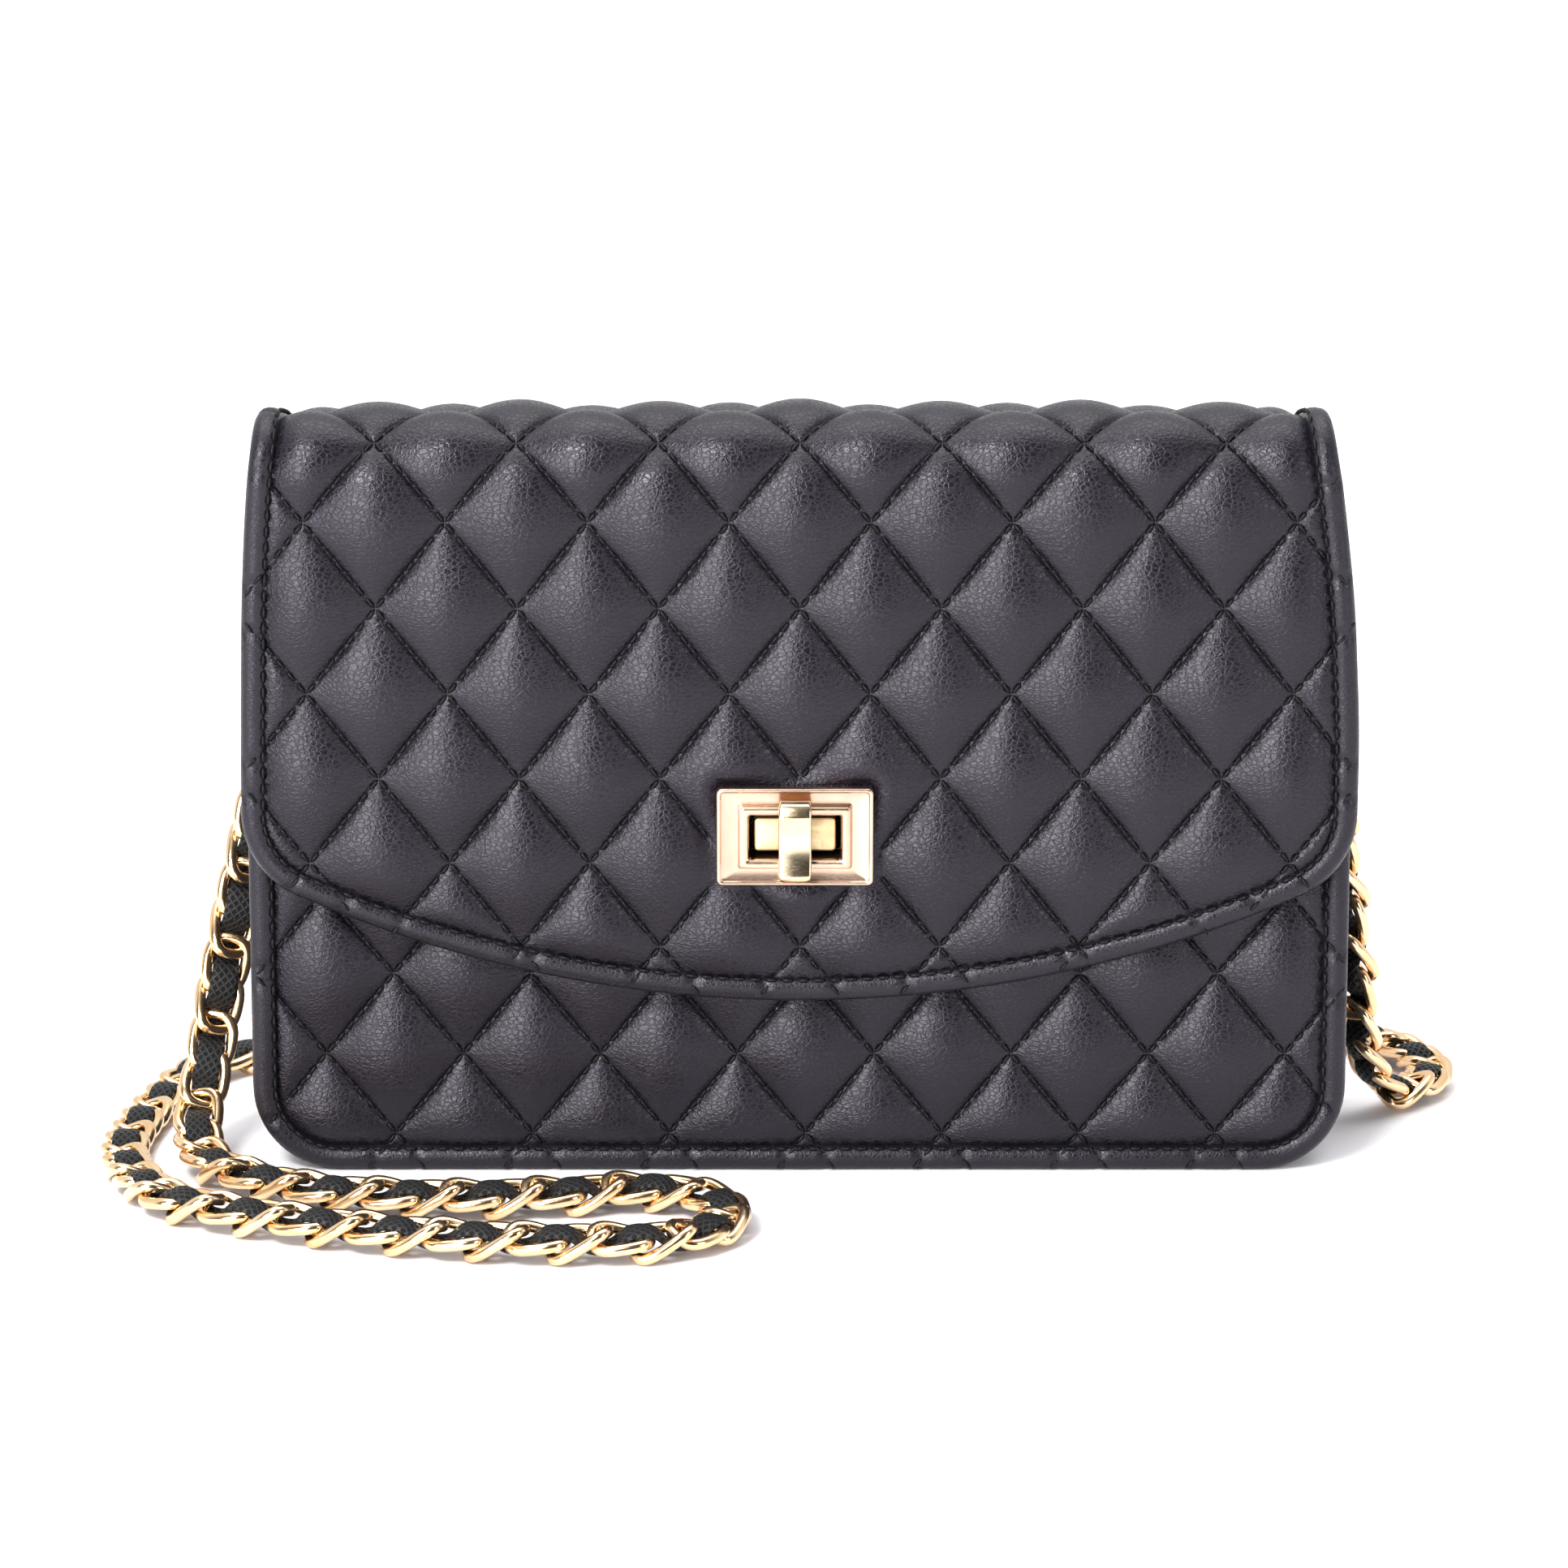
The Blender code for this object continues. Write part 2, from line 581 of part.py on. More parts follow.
# The strap's centreline, in millimetres: down from the left D-ring, a loop on the surface
# in front, back past the left side, loose folds behind the body, a small loop at the right,
# and up to the right D-ring.
STRAP_ROUTE_MM = (
    (-97.5, 0, 108.3), (-97.5, 0, 98), (-98.2, 0, 84), (-100.8, -0.5, 66), (-105, -2, 48),
    (-108.6, -5, 31), (-111.2, -9, 16.5), (-112.6, -17, 7.5), (-110, -29, 4.9),
    (-102, -40, 4.9), (-86, -49.5, 4.9), (-63, -53, 4.9), (-42, -51, 4.9),
    (-27, -48.5, 4.9), (-16, -53.5, 4.9), (-13.5, -65, 4.9), (-21.5, -75.5, 4.9),
    (-40, -78.5, 4.9), (-70, -74, 4.9), (-98, -63.5, 4.9), (-113.5, -53.5, 4.9),
    (-121, -40, 4.9), (-126, -22, 4.9), (-125.5, -3, 4.9), (-122, 16, 4.9),
    (-116, 33, 4.9), (-101, 45, 4.9), (-78, 47.5, 4.9), (-48, 46, 4.9), (-10, 44, 4.9),
    (30, 44, 4.9), (56, 47.5, 4.9), (69, 60, 4.9), (68, 75, 4.9), (53, 85.5, 4.9),
    (20, 86, 4.9), (-20, 84, 4.9), (-43, 88, 4.9), (-55, 102, 4.9), (-47, 118, 4.9),
    (-26, 125, 4.9), (6, 121, 4.9), (45, 115, 4.9), (78, 104, 4.9), (95, 86, 4.9),
    (104.5, 68, 4.9), (113, 54, 4.9), (120.5, 43.5, 4.9), (123.6, 32, 4.9),
    (121, 21.5, 4.9), (115.3, 15, 5.2), (110.3, 10, 9.3), (107.5, 6.8, 17), (106, 5, 27),
    (104.6, 4, 38), (102.8, 2.5, 50), (99.8, 0.8, 66), (98, 0, 82), (97.5, 0, 98),
    (97.5, 0, 108.3),
)
STRAP_POINTS = 80


def smooth_route(points, count):
    """Evenly spaced points along a centripetal curve through the given points."""
    padded = [2 * points[0] - points[1]] + list(points) + [2 * points[-1] - points[-2]]
    fine = []
    for p0, p1, p2, p3 in zip(padded, padded[1:], padded[2:], padded[3:]):
        t1 = (p1 - p0).length ** 0.5
        t2 = t1 + (p2 - p1).length ** 0.5
        t3 = t2 + (p3 - p2).length ** 0.5
        for i in range(24):
            t = t1 + (t2 - t1) * i / 24
            a1 = p0 * ((t1 - t) / t1) + p1 * (t / t1)
            a2 = p1 * ((t2 - t) / (t2 - t1)) + p2 * ((t - t1) / (t2 - t1))
            a3 = p2 * ((t3 - t) / (t3 - t2)) + p3 * ((t - t2) / (t3 - t2))
            b1 = a1 * ((t2 - t) / t2) + a2 * (t / t2)
            b2 = a2 * ((t3 - t) / (t3 - t1)) + a3 * ((t - t1) / (t3 - t1))
            fine.append(b1 * ((t2 - t) / (t2 - t1)) + b2 * ((t - t1) / (t2 - t1)))
    fine.append(points[-1])
    lengths = [0.0]
    for a, b in zip(fine, fine[1:]):
        lengths.append(lengths[-1] + (b - a).length)
    out, k = [], 0
    for i in range(count):
        want = lengths[-1] * i / (count - 1)
        while k < len(fine) - 2 and lengths[k + 1] < want:
            k += 1
        part = (want - lengths[k]) / (lengths[k + 1] - lengths[k])
        out.append(fine[k].lerp(fine[k + 1], min(part, 1.0)))
    return out


def make_strap(mats):
    """The chain strap as a plain tube along its route."""
    route = [Vector(p) * 0.001 for p in STRAP_ROUTE_MM]
    curve = bpy.data.curves.new("strap_chain", "CURVE")
    curve.dimensions = "3D"
    curve.bevel_depth = STRAP_WIDTH / 2
    curve.bevel_resolution = 2
    curve.use_fill_caps = True
    spline = curve.splines.new("POLY")
    line = smooth_route(route, STRAP_POINTS)
    spline.points.add(len(line) - 1)
    for point, place in zip(spline.points, line):
        point.co = (*place, 1.0)
    curve.materials.append(mats["gold"])
    bpy.context.scene.collection.objects.link(bpy.data.objects.new("strap_chain", curve))


# ---- the purse ----
clear_scene()
CUTTER = material("cutter", (0.8, 0.2, 0.2), 0.5)
MATERIALS = {
    "leather": material("black_leather", (0.022, 0.021, 0.026), 0.42),
    "padding": material("foam", (0.55, 0.53, 0.50), 0.9),
    "lining": material("black_cloth", (0.016, 0.016, 0.018), 0.85),
    "board": material("grey_board", (0.30, 0.28, 0.26), 0.9),
    "gold": material("pale_gold", (0.86, 0.65, 0.42), 0.2, 1.0),
}
CUTTERS = lock_cutters()

front_leather, front_padding = make_panel(-1, MATERIALS)
cut(front_leather, CUTTERS["shaft"])
cut(front_padding, CUTTERS["washer"])
make_panel(1, MATERIALS)
for body_side in (-1, 1):
    make_gusset_side(body_side, MATERIALS)
    make_strap_fitting(body_side, MATERIALS)
make_bottom(MATERIALS)
make_lining(MATERIALS)
make_slip_pocket(MATERIALS)
make_flap_top(MATERIALS)
make_flap_front(MATERIALS, CUTTERS)
make_lock_frame(MATERIALS)
make_lock_base(MATERIALS, CUTTERS)
make_knob(MATERIALS)
make_strap(MATERIALS)
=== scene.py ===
import json
import math

import bpy
import numpy as np
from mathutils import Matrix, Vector

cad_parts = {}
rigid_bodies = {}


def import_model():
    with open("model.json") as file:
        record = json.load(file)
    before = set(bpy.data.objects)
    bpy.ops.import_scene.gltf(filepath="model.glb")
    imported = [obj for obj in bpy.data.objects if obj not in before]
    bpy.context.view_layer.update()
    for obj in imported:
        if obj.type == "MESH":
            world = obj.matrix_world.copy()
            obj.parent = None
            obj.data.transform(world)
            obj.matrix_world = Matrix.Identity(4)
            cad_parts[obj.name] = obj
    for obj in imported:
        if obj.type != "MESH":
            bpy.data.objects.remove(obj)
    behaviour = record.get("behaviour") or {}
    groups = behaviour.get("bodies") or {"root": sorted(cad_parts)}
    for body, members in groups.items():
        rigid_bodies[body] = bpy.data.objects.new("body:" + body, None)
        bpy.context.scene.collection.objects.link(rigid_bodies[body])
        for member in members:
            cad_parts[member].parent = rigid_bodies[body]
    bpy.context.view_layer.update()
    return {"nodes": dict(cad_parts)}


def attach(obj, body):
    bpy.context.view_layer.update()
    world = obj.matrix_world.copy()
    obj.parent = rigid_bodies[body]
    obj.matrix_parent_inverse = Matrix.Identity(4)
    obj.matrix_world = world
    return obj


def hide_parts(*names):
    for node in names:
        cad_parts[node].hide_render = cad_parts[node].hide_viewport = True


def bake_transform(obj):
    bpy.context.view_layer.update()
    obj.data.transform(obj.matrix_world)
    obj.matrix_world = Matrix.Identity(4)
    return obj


for item in list(bpy.data.objects):
    bpy.data.objects.remove(item, do_unlink=True)
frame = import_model()

MM = 0.001

# ---- camera ----
camera_data = bpy.data.cameras.new("camera")
camera_data.angle = math.radians(16.2875)
camera_data.clip_end = 30.0
camera = bpy.data.objects.new("camera", camera_data)
camera.location = (-0.0028, -1.0004, 0.3084)
camera.rotation_euler = (math.radians(90 - 13.5), 0.0, 0.0)
bpy.context.scene.collection.objects.link(camera)
bpy.context.scene.camera = camera


# ---- materials ----
def new_material(name):
    made = bpy.data.materials.new(name)
    made.use_nodes = True
    return made, made.node_tree, made.node_tree.nodes["Principled BSDF"]


def set_inputs(tree, made, inputs):
    """Give a node's inputs their values, or link them where the value is a socket."""
    for key, value in inputs.items():
        if isinstance(value, bpy.types.NodeSocket):
            tree.links.new(value, made.inputs[key])
        else:
            made.inputs[key].default_value = value


def node(tree, kind, inputs=None, out=0, **settings):
    """Add a node, set it up, and return one of its outputs."""
    made = tree.nodes.new(kind)
    for key, value in settings.items():
        setattr(made, key, value)
    set_inputs(tree, made, inputs or {})
    return made.outputs[out]


def maths(tree, operation, *values):
    return node(tree, "ShaderNodeMath", dict(enumerate(values)), operation=operation)


def spread(tree, value, low, high, to_low=0.0, to_high=1.0):
    """A value mapped smoothly from one range to another, and clamped."""
    inputs = {"Value": value, 1: low, 2: high, 3: to_low, 4: to_high}
    return node(tree, "ShaderNodeMapRange", inputs, interpolation_type="SMOOTHSTEP")


def mix_colour(tree, share, first, second):
    inputs = {0: share, 6: (*first, 1.0) if isinstance(first, tuple) else first,
              7: (*second, 1.0) if isinstance(second, tuple) else second}
    return node(tree, "ShaderNodeMix", inputs, out=2, data_type="RGBA")


def attribute(tree, name, out="Vector"):
    return node(tree, "ShaderNodeAttribute", attribute_name=name, out=out)


def noise(tree, vector, scale, detail=2.0, out=0):
    inputs = {"Vector": vector, "Scale": scale, "Detail": detail}
    return node(tree, "ShaderNodeTexNoise", inputs, out=out)


def stretched(tree, vector, factors):
    return node(tree, "ShaderNodeVectorMath", {0: vector, 1: factors}, operation="MULTIPLY")


def bump(tree, height, distance):
    return node(tree, "ShaderNodeBump", {"Height": height, "Distance": distance})


def split_axes(tree, vector):
    made = tree.nodes.new("ShaderNodeSeparateXYZ")
    tree.links.new(vector, made.inputs[0])
    return made.outputs


def leather_material(name, dark, light, rough, grain, depth):
    """Grained leather: pebbles divided by fine cracks, worn a little smoother on its crests, with painted
    shade that makes it darker in its creases and lighter on its crests.
    """
    made, tree, shader = new_material(name)
    cloth = attribute(tree, "cloth")
    wear = attribute(tree, "wear", "Fac")
    wander = noise(tree, cloth, 420.0, out=1)
    bent = node(tree, "ShaderNodeVectorMath", {0: wander, 1: (0.0009,) * 3, 2: cloth},
                operation="MULTIPLY_ADD")
    flat = stretched(tree, bent, (0.78, 1.0, 1.0))
    large, small = [node(tree, "ShaderNodeTexVoronoi", {"Vector": flat, "Scale": count / grain},
                         feature="DISTANCE_TO_EDGE") for count in (1.0, 2.3)]
    pebbles = spread(tree, large, 0.0, 0.22)
    grit = spread(tree, small, 0.0, 0.25)
    slow = noise(tree, cloth, 70.0, 3.0)
    height = maths(tree, "MULTIPLY_ADD", grit, 0.28, maths(tree, "MULTIPLY", pebbles, 0.62))
    height = maths(tree, "MULTIPLY_ADD", noise(tree, cloth, 5200.0), 0.1, height)
    height = maths(tree, "MULTIPLY", height, spread(tree, slow, 0.35, 0.65, 0.82, 1.0))
    # painted shade: the crest share darkens the colour in creases and lightens it on crests, mixed with a
    # slow random tone
    tone = maths(tree, "MULTIPLY_ADD", wear, 0.45, maths(tree, "MULTIPLY", slow, 0.55))
    colour = mix_colour(tree, tone, dark, light)
    gloss = maths(tree, "MULTIPLY_ADD", wear, -0.05, rough + 0.03)
    gloss = maths(tree, "MULTIPLY_ADD", spread(tree, noise(tree, cloth, 180.0), 0.3, 0.7), 0.05, gloss)
    set_inputs(tree, shader, {
        "Base Color": mix_colour(tree, spread(tree, pebbles, 0.0, 0.5, 0.55, 0.0), colour, dark),
        "Roughness": maths(tree, "MULTIPLY_ADD", spread(tree, pebbles, 0.0, 0.7, 1.0, 0.0), 0.2, gloss),
        "Normal": bump(tree, height, depth),
        "Specular IOR Level": 0.36,
        "Specular Tint": (0.96, 0.89, 1.0, 1.0),
    })
    return made


def metal_material(name, dark, light, rough, brushed=0.0):
    """Plated metal: polished, with faint scratches and a slow change of tone."""
    made, tree, shader = new_material(name)
    cloth = attribute(tree, "cloth")
    slow = noise(tree, cloth, 130.0)
    scratch = noise(tree, stretched(tree, cloth, (1.0, 9.0, 1.0)), 1400.0, 3.0)
    gloss = maths(tree, "MULTIPLY_ADD", spread(tree, scratch, 0.35, 0.75), 0.05 + brushed, rough)
    set_inputs(tree, shader, {
        "Base Color": mix_colour(tree, spread(tree, slow, 0.3, 0.7), dark, light),
        "Roughness": maths(tree, "MULTIPLY_ADD", slow, 0.04, gloss),
        "Normal": bump(tree, scratch, 0.000004 + 0.00002 * brushed),
        "Metallic": 1.0,
    })
    return made


def braid_material(name, dark, light):
    """Flat braided ribbon: two families of yarns crossing along its length."""
    made, tree, shader = new_material(name)
    cloth = attribute(tree, "cloth")
    axes = split_axes(tree, cloth)
    wobble = maths(tree, "MULTIPLY", noise(tree, cloth, 900.0, 1.0), 1.3)
    along = maths(tree, "MULTIPLY_ADD", axes[0], 2 * math.pi / 0.0016, wobble)
    across = maths(tree, "MULTIPLY", axes[1], 2 * math.pi / 0.00145)
    first = maths(tree, "SINE", maths(tree, "ADD", along, across))
    second = maths(tree, "SINE", maths(tree, "SUBTRACT", along, across))
    yarn = maths(tree, "MAXIMUM", first, second)
    strands = noise(tree, stretched(tree, cloth, (1.0, 3.0, 1.0)), 4200.0)
    height = maths(tree, "MULTIPLY_ADD", strands, 0.5, spread(tree, yarn, -0.4, 1.0))
    set_inputs(tree, shader, {
        "Base Color": mix_colour(tree, spread(tree, height, 0.3, 1.3), dark, light),
        "Roughness": spread(tree, height, 0.3, 1.4, 0.9, 0.38),
        "Normal": bump(tree, height, 0.00022),
        "Specular IOR Level": 0.35,
    })
    return made


def weave_material(name, dark, light, pitch, rough, depth, specular=0.5):
    """Plain woven cloth, or twisted thread at a fine pitch."""
    made, tree, shader = new_material(name)
    cloth = attribute(tree, "cloth")
    warp, weft = [maths(tree, "SINE", maths(tree, "MULTIPLY", axis, 2 * math.pi / pitch))
                  for axis in list(split_axes(tree, cloth))[:2]]
    over = spread(tree, maths(tree, "MULTIPLY", warp, weft), -1.0, 1.0)
    height = maths(tree, "MULTIPLY_ADD", noise(tree, cloth, 3000.0), 0.6, over)
    slow = noise(tree, cloth, 60.0, 3.0)
    set_inputs(tree, shader, {
        "Base Color": mix_colour(tree, maths(tree, "MULTIPLY", height, slow), dark, light),
        "Roughness": maths(tree, "MULTIPLY_ADD", slow, 0.1, rough),
        "Normal": bump(tree, height, depth),
        "Specular IOR Level": specular,
    })
    return made


LEATHER = leather_material("quilted_leather", (0.0018, 0.0014, 0.003), (0.0058, 0.0048, 0.0088),
                           rough=0.25, grain=0.00082, depth=0.00006)
EDGE = leather_material("rolled_leather", (0.0024, 0.002, 0.0034), (0.007, 0.0062, 0.0096),
                        rough=0.28, grain=0.00066, depth=0.000034)
SIDE = leather_material("side_leather", (0.006, 0.0056, 0.007), (0.0125, 0.0118, 0.0145),
                        rough=0.42, grain=0.0008, depth=0.00016)
THREAD = weave_material("black_thread", (0.001, 0.001, 0.0013), (0.005, 0.005, 0.0062),
                        pitch=0.0007, rough=0.5, depth=0.00006, specular=0.22)
CLOTH = weave_material("lining_cloth", (0.004, 0.004, 0.0046), (0.018, 0.018, 0.02),
                       pitch=0.0009, rough=0.7, depth=0.00008)
RIBBON = braid_material("black_ribbon", (0.001, 0.001, 0.0012), (0.009, 0.009, 0.01))
CHAIN_GOLD = metal_material("chain_gold", (0.84, 0.55, 0.29), (0.88, 0.66, 0.41), 0.15)
LOCK_GOLD = metal_material("lock_gold", (0.58, 0.4, 0.29), (0.66, 0.48, 0.36), 0.2)
KNOB_GOLD = metal_material("knob_gold", (0.73, 0.56, 0.34), (0.76, 0.64, 0.44), 0.16)
BASE_GOLD = metal_material("base_gold", (0.64, 0.49, 0.27), (0.72, 0.56, 0.34), 0.3, 0.12)


# ---- meshes ----
def new_mesh(name, points, faces):
    mesh = bpy.data.meshes.new(name)
    mesh.from_pydata(points.tolist(), [], faces)
    mesh.update()
    return mesh


class Build:
    """Collects grids of points and faces for one or more objects."""

    def __init__(self):
        self.points, self.faces, self.slots, self.cloth, self.wear, self.key = [], [], [], [], [], []
        self.count = 0

    def grid(self, points, wrap_rows=False, wrap_columns=False, caps=False, keep=None, flip=False,
             slot=0, cloth=None, wear=0.5, key=0.0):
        """Points [row][column]: quads between them, with wrapped ends, end caps, or a mask to keep."""
        points = np.asarray(points, float)
        rows, columns = points.shape[:2]
        r = np.arange(rows if wrap_rows else rows - 1)[:, None]
        c = np.arange(columns if wrap_columns else columns - 1)[None, :]
        r1, c1 = (r + 1) % rows, (c + 1) % columns
        quads = np.stack([r * columns + c, r * columns + c1, r1 * columns + c1, r1 * columns + c], -1)
        faces = (quads if keep is None else quads[keep]).reshape(-1, 4).tolist()
        if caps:
            faces += [list(range(columns))[::-1], list(range((rows - 1) * columns, rows * columns))]
        way = -1 if flip else 1
        self.faces += [tuple(i + self.count for i in face[::way]) for face in faces]
        self.slots += [slot] * len(faces)
        self.points.append(points.reshape(-1, 3))
        self.cloth.append(self.points[-1] if cloth is None else np.asarray(cloth, float).reshape(-1, 3))
        self.wear.append(np.broadcast_to(np.ravel(wear), rows * columns))
        self.key.append(np.broadcast_to(np.ravel(key), rows * columns))
        self.count += rows * columns

    def make(self, name, mats, choose=None, body=None):
        """The whole object, or the part of it whose faces' keys are chosen, with the whole's normals."""
        points, cloth, wear, key = [np.concatenate(part) for part in
                                    (self.points, self.cloth, self.wear, self.key)]
        faces, slots = self.faces, self.slots
        mesh = new_mesh(name, points, faces)
        if choose is not None:
            normals = np.zeros(len(points) * 3, np.float32)
            mesh.vertex_normals.foreach_get("vector", normals)
            normals = normals.reshape(-1, 3)
            picked = [i for i, f in enumerate(faces) if choose(sum(key[j] for j in f) / len(f))]
            faces, slots = [faces[i] for i in picked], [slots[i] for i in picked]
            used = np.zeros(len(points), bool)
            used[[j for f in faces for j in f]] = True
            new = (np.cumsum(used) - 1).tolist()
            faces = [tuple(new[j] for j in f) for f in faces]
            points, cloth, wear, normals = points[used], cloth[used], wear[used], normals[used]
            bpy.data.meshes.remove(mesh)
            mesh = new_mesh(name, points, faces)
        for mat in mats:
            mesh.materials.append(mat)
        mesh.polygons.foreach_set("material_index", slots)
        mesh.polygons.foreach_set("use_smooth", [True] * len(faces))
        for label, kind, field, values in (("cloth", "FLOAT_VECTOR", "vector", cloth),
                                           ("wear", "FLOAT", "value", wear)):
            layer = mesh.attributes.new(label, kind, "POINT")
            layer.data.foreach_set(field, values.astype(np.float32).ravel())
        if choose is not None:
            mesh.normals_split_custom_set_from_vertices(normals.tolist())
        made = bpy.data.objects.new(name, mesh)
        bpy.context.scene.collection.objects.link(made)
        if body is not None:
            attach(made, body)
        return made


# ---- lines, rings and fields ----
def unit(v):
    return v / np.maximum(np.linalg.norm(v, axis=-1, keepdims=True), 1e-12)


def reach_of(points):
    """The distance along a line at each of its points."""
    return np.concatenate([[0.0], np.cumsum(np.linalg.norm(np.diff(points, axis=0), axis=1))])


def at_reach(want, reach, values):
    """A line's points, or other rows of values, at the wanted distances along it."""
    return np.stack([np.interp(want, reach, column) for column in values.T], -1)


def heading_of(line, closed=False):
    """The unit direction along a line at each of its points."""
    if closed:
        return unit(np.roll(line, -1, 0) - np.roll(line, 1, 0))
    return unit(np.gradient(line, axis=0))


def left_of(heading):
    return np.stack([-heading[:, 1], heading[:, 0]], -1)


def mirrored(points):
    return points * np.array([-1.0, 1.0])


def square_to(heading, normal):
    """The normal turned square to a heading."""
    return unit(normal - heading * (normal * heading).sum(-1, keepdims=True))


def ease(value, low, high):
    """From 0 at low to 1 at high, smooth at both ends."""
    t = np.clip((value - low) / (high - low), 0, 1)
    return t * t * (3 - 2 * t)


def flat_cloth(along, across):
    """Cloth coordinates (along, across, 0) on one grid."""
    along, across = np.broadcast_arrays(along, across)
    return np.stack([along, across, np.zeros(along.shape)], -1)


def whole_quads(good):
    """The quads whose four corners are all good."""
    return good[:-1, :-1] & good[1:, :-1] & good[:-1, 1:] & good[1:, 1:]


def rings_round(centres, across, up, radius, sides):
    """A ring of points round each centre."""
    turn = 2 * math.pi * np.arange(sides)[:, None] / sides
    ring = np.cos(turn) * across[:, None, :] + np.sin(turn) * up[:, None, :]
    return centres[:, None, :] + ring * np.broadcast_to(radius, len(centres))[:, None, None]


THREAD_SIDES = 6
THREAD_END = 0.45              # a stitch's radius at its ends, as a share


def thread(build, centres, normals, radius, **extra):
    """One stitch: a closed tube along its centres, with a normal at each."""
    along = heading_of(centres)
    across = unit(np.cross(along, normals))
    radii = np.full(len(centres), radius)
    radii[[0, -1]] *= THREAD_END
    points = rings_round(centres, across, np.cross(across, along), radii, THREAD_SIDES)
    build.grid(points, wrap_columns=True, caps=True, slot=1, wear=0.3, **extra)


def wire_ring(loop, normal, radius, sides):
    """The surface of a round wire along a closed loop that lies square to a normal."""
    along = heading_of(loop, closed=True)
    out = unit(np.cross(along, np.broadcast_to(normal, along.shape)))
    return rings_round(loop, out, np.cross(out, along), radius, sides)


def superellipse(count, power_u, power_v):
    """Points (u, v) round a softened rectangle of half size 1."""
    turn = 2 * math.pi * np.arange(count) / count
    u, v = np.cos(turn), np.sin(turn)
    return np.sign(u) * np.abs(u) ** power_u, np.sign(v) * np.abs(v) ** power_v


class Path:
    """A path (y, z) in section with its distance s, and the outward normal. It places (x, s, height)."""

    def __init__(self, points, zero=0.0):
        points = np.array(points, float)
        reach = reach_of(points)
        self.s = np.arange(0.0, reach[-1], 0.0004)
        self.y, self.z = at_reach(self.s, reach, points).T
        blur = np.hanning(11)
        blur /= blur.sum()
        dy, dz = [np.convolve(np.pad(np.gradient(line), 5, "edge"), blur, "valid")
                  for line in (self.y, self.z)]
        size = np.hypot(dy, dz)
        self.ny, self.nz = dz / size, -dy / size
        self.s = self.s - zero

    def normal(self, s):
        n = np.stack([np.zeros_like(s), np.interp(s, self.s, self.ny), np.interp(s, self.s, self.nz)], -1)
        return unit(n)

    def place(self, x, s, h):
        base = np.stack([x, np.interp(s, self.s, self.y), np.interp(s, self.s, self.z)], -1)
        return base + self.normal(s) * np.asarray(h)[..., None]


def arc(centre, radius, start_deg, end_deg, steps):
    turns = np.radians(np.linspace(start_deg, end_deg, steps + 1))
    return np.stack([centre[0] + radius * np.cos(turns), centre[1] + radius * np.sin(turns)], -1)


def resample(points, step, closed=False):
    """The line again, in even steps of about the given length."""
    points = np.array(points, float)
    if closed:
        points = np.vstack([points, points[:1]])
    reach = reach_of(points)
    count = max(int(round(reach[-1] / step)), 2)
    made = at_reach(np.linspace(0.0, reach[-1], count + 1), reach, points)
    return made[:-1] if closed else made


def inside_distance(outline, x, s):
    """How far each point is inside a closed outline: negative outside it."""
    shape = x.shape
    px, ps = x.ravel(), s.ravel()
    best = np.full(px.shape, 1e9)
    inside = np.zeros(px.shape, bool)
    for (ax, ay), (bx, by) in zip(outline, np.roll(outline, -1, axis=0)):
        dx, dy = bx - ax, by - ay
        t = np.clip(((px - ax) * dx + (ps - ay) * dy) / max(dx * dx + dy * dy, 1e-18), 0, 1)
        best = np.minimum(best, np.hypot(px - ax - t * dx, ps - ay - t * dy))
        cross = (ay > ps) != (by > ps)
        with np.errstate(divide="ignore", invalid="ignore"):
            inside ^= cross & (px < (bx - ax) * (ps - ay) / (by - ay) + ax)
    return np.where(inside, best, -best).reshape(shape)


def waves(x, y, seed):
    """A smooth repeatable ripple of about -1 to 1, for a coordinate scale of about one radian."""
    total = np.zeros(np.broadcast(x, y).shape)
    for i in range(1, 6):
        k = seed * 1.7 + i * 2.399
        scale = 0.7 + 0.33 * i
        total = total + np.sin(x * math.cos(k) * scale + y * math.sin(k) * scale + k * 3.1) / i
    return total / 2.0


# ---- quilting, its stitches and the rolled borders ----
class Quilt:
    """A diamond quilting pattern: half widths and heights, a node, and the heights of its surface."""

    def __init__(self, pitch, half_height, x0, s0, crease, crest):
        self.pitch, self.half, self.x0, self.s0 = pitch, half_height, x0, s0
        self.crease, self.crest = crease, crest
        self.side = math.hypot(pitch / 2, half_height)
        self.apart = pitch * half_height / self.side

    def ab(self, x, s):
        u, v = (x - self.x0) / self.pitch, (s - self.s0) / (2 * self.half)
        return u + v, u - v

    def xs(self, a, b):
        return self.x0 + self.pitch * (a + b) / 2, self.s0 + self.half * (a - b)

    def off_line(self, x, s):
        """Distance to the nearest quilting line."""
        a, b = self.ab(x, s)
        fa, fb = np.abs(a - np.round(a)), np.abs(b - np.round(b))
        return np.minimum(fa, fb) * self.apart
    def span(self, outline):
        """Whole numbers under and over every a and b in an outline's box."""
        low, high = outline.min(axis=0), outline.max(axis=0)
        corners = np.array([self.ab(x, s) for x in (low[0], high[0]) for s in (low[1], high[1])])
        return np.floor(corners.min(axis=0)).astype(int), np.ceil(corners.max(axis=0)).astype(int)


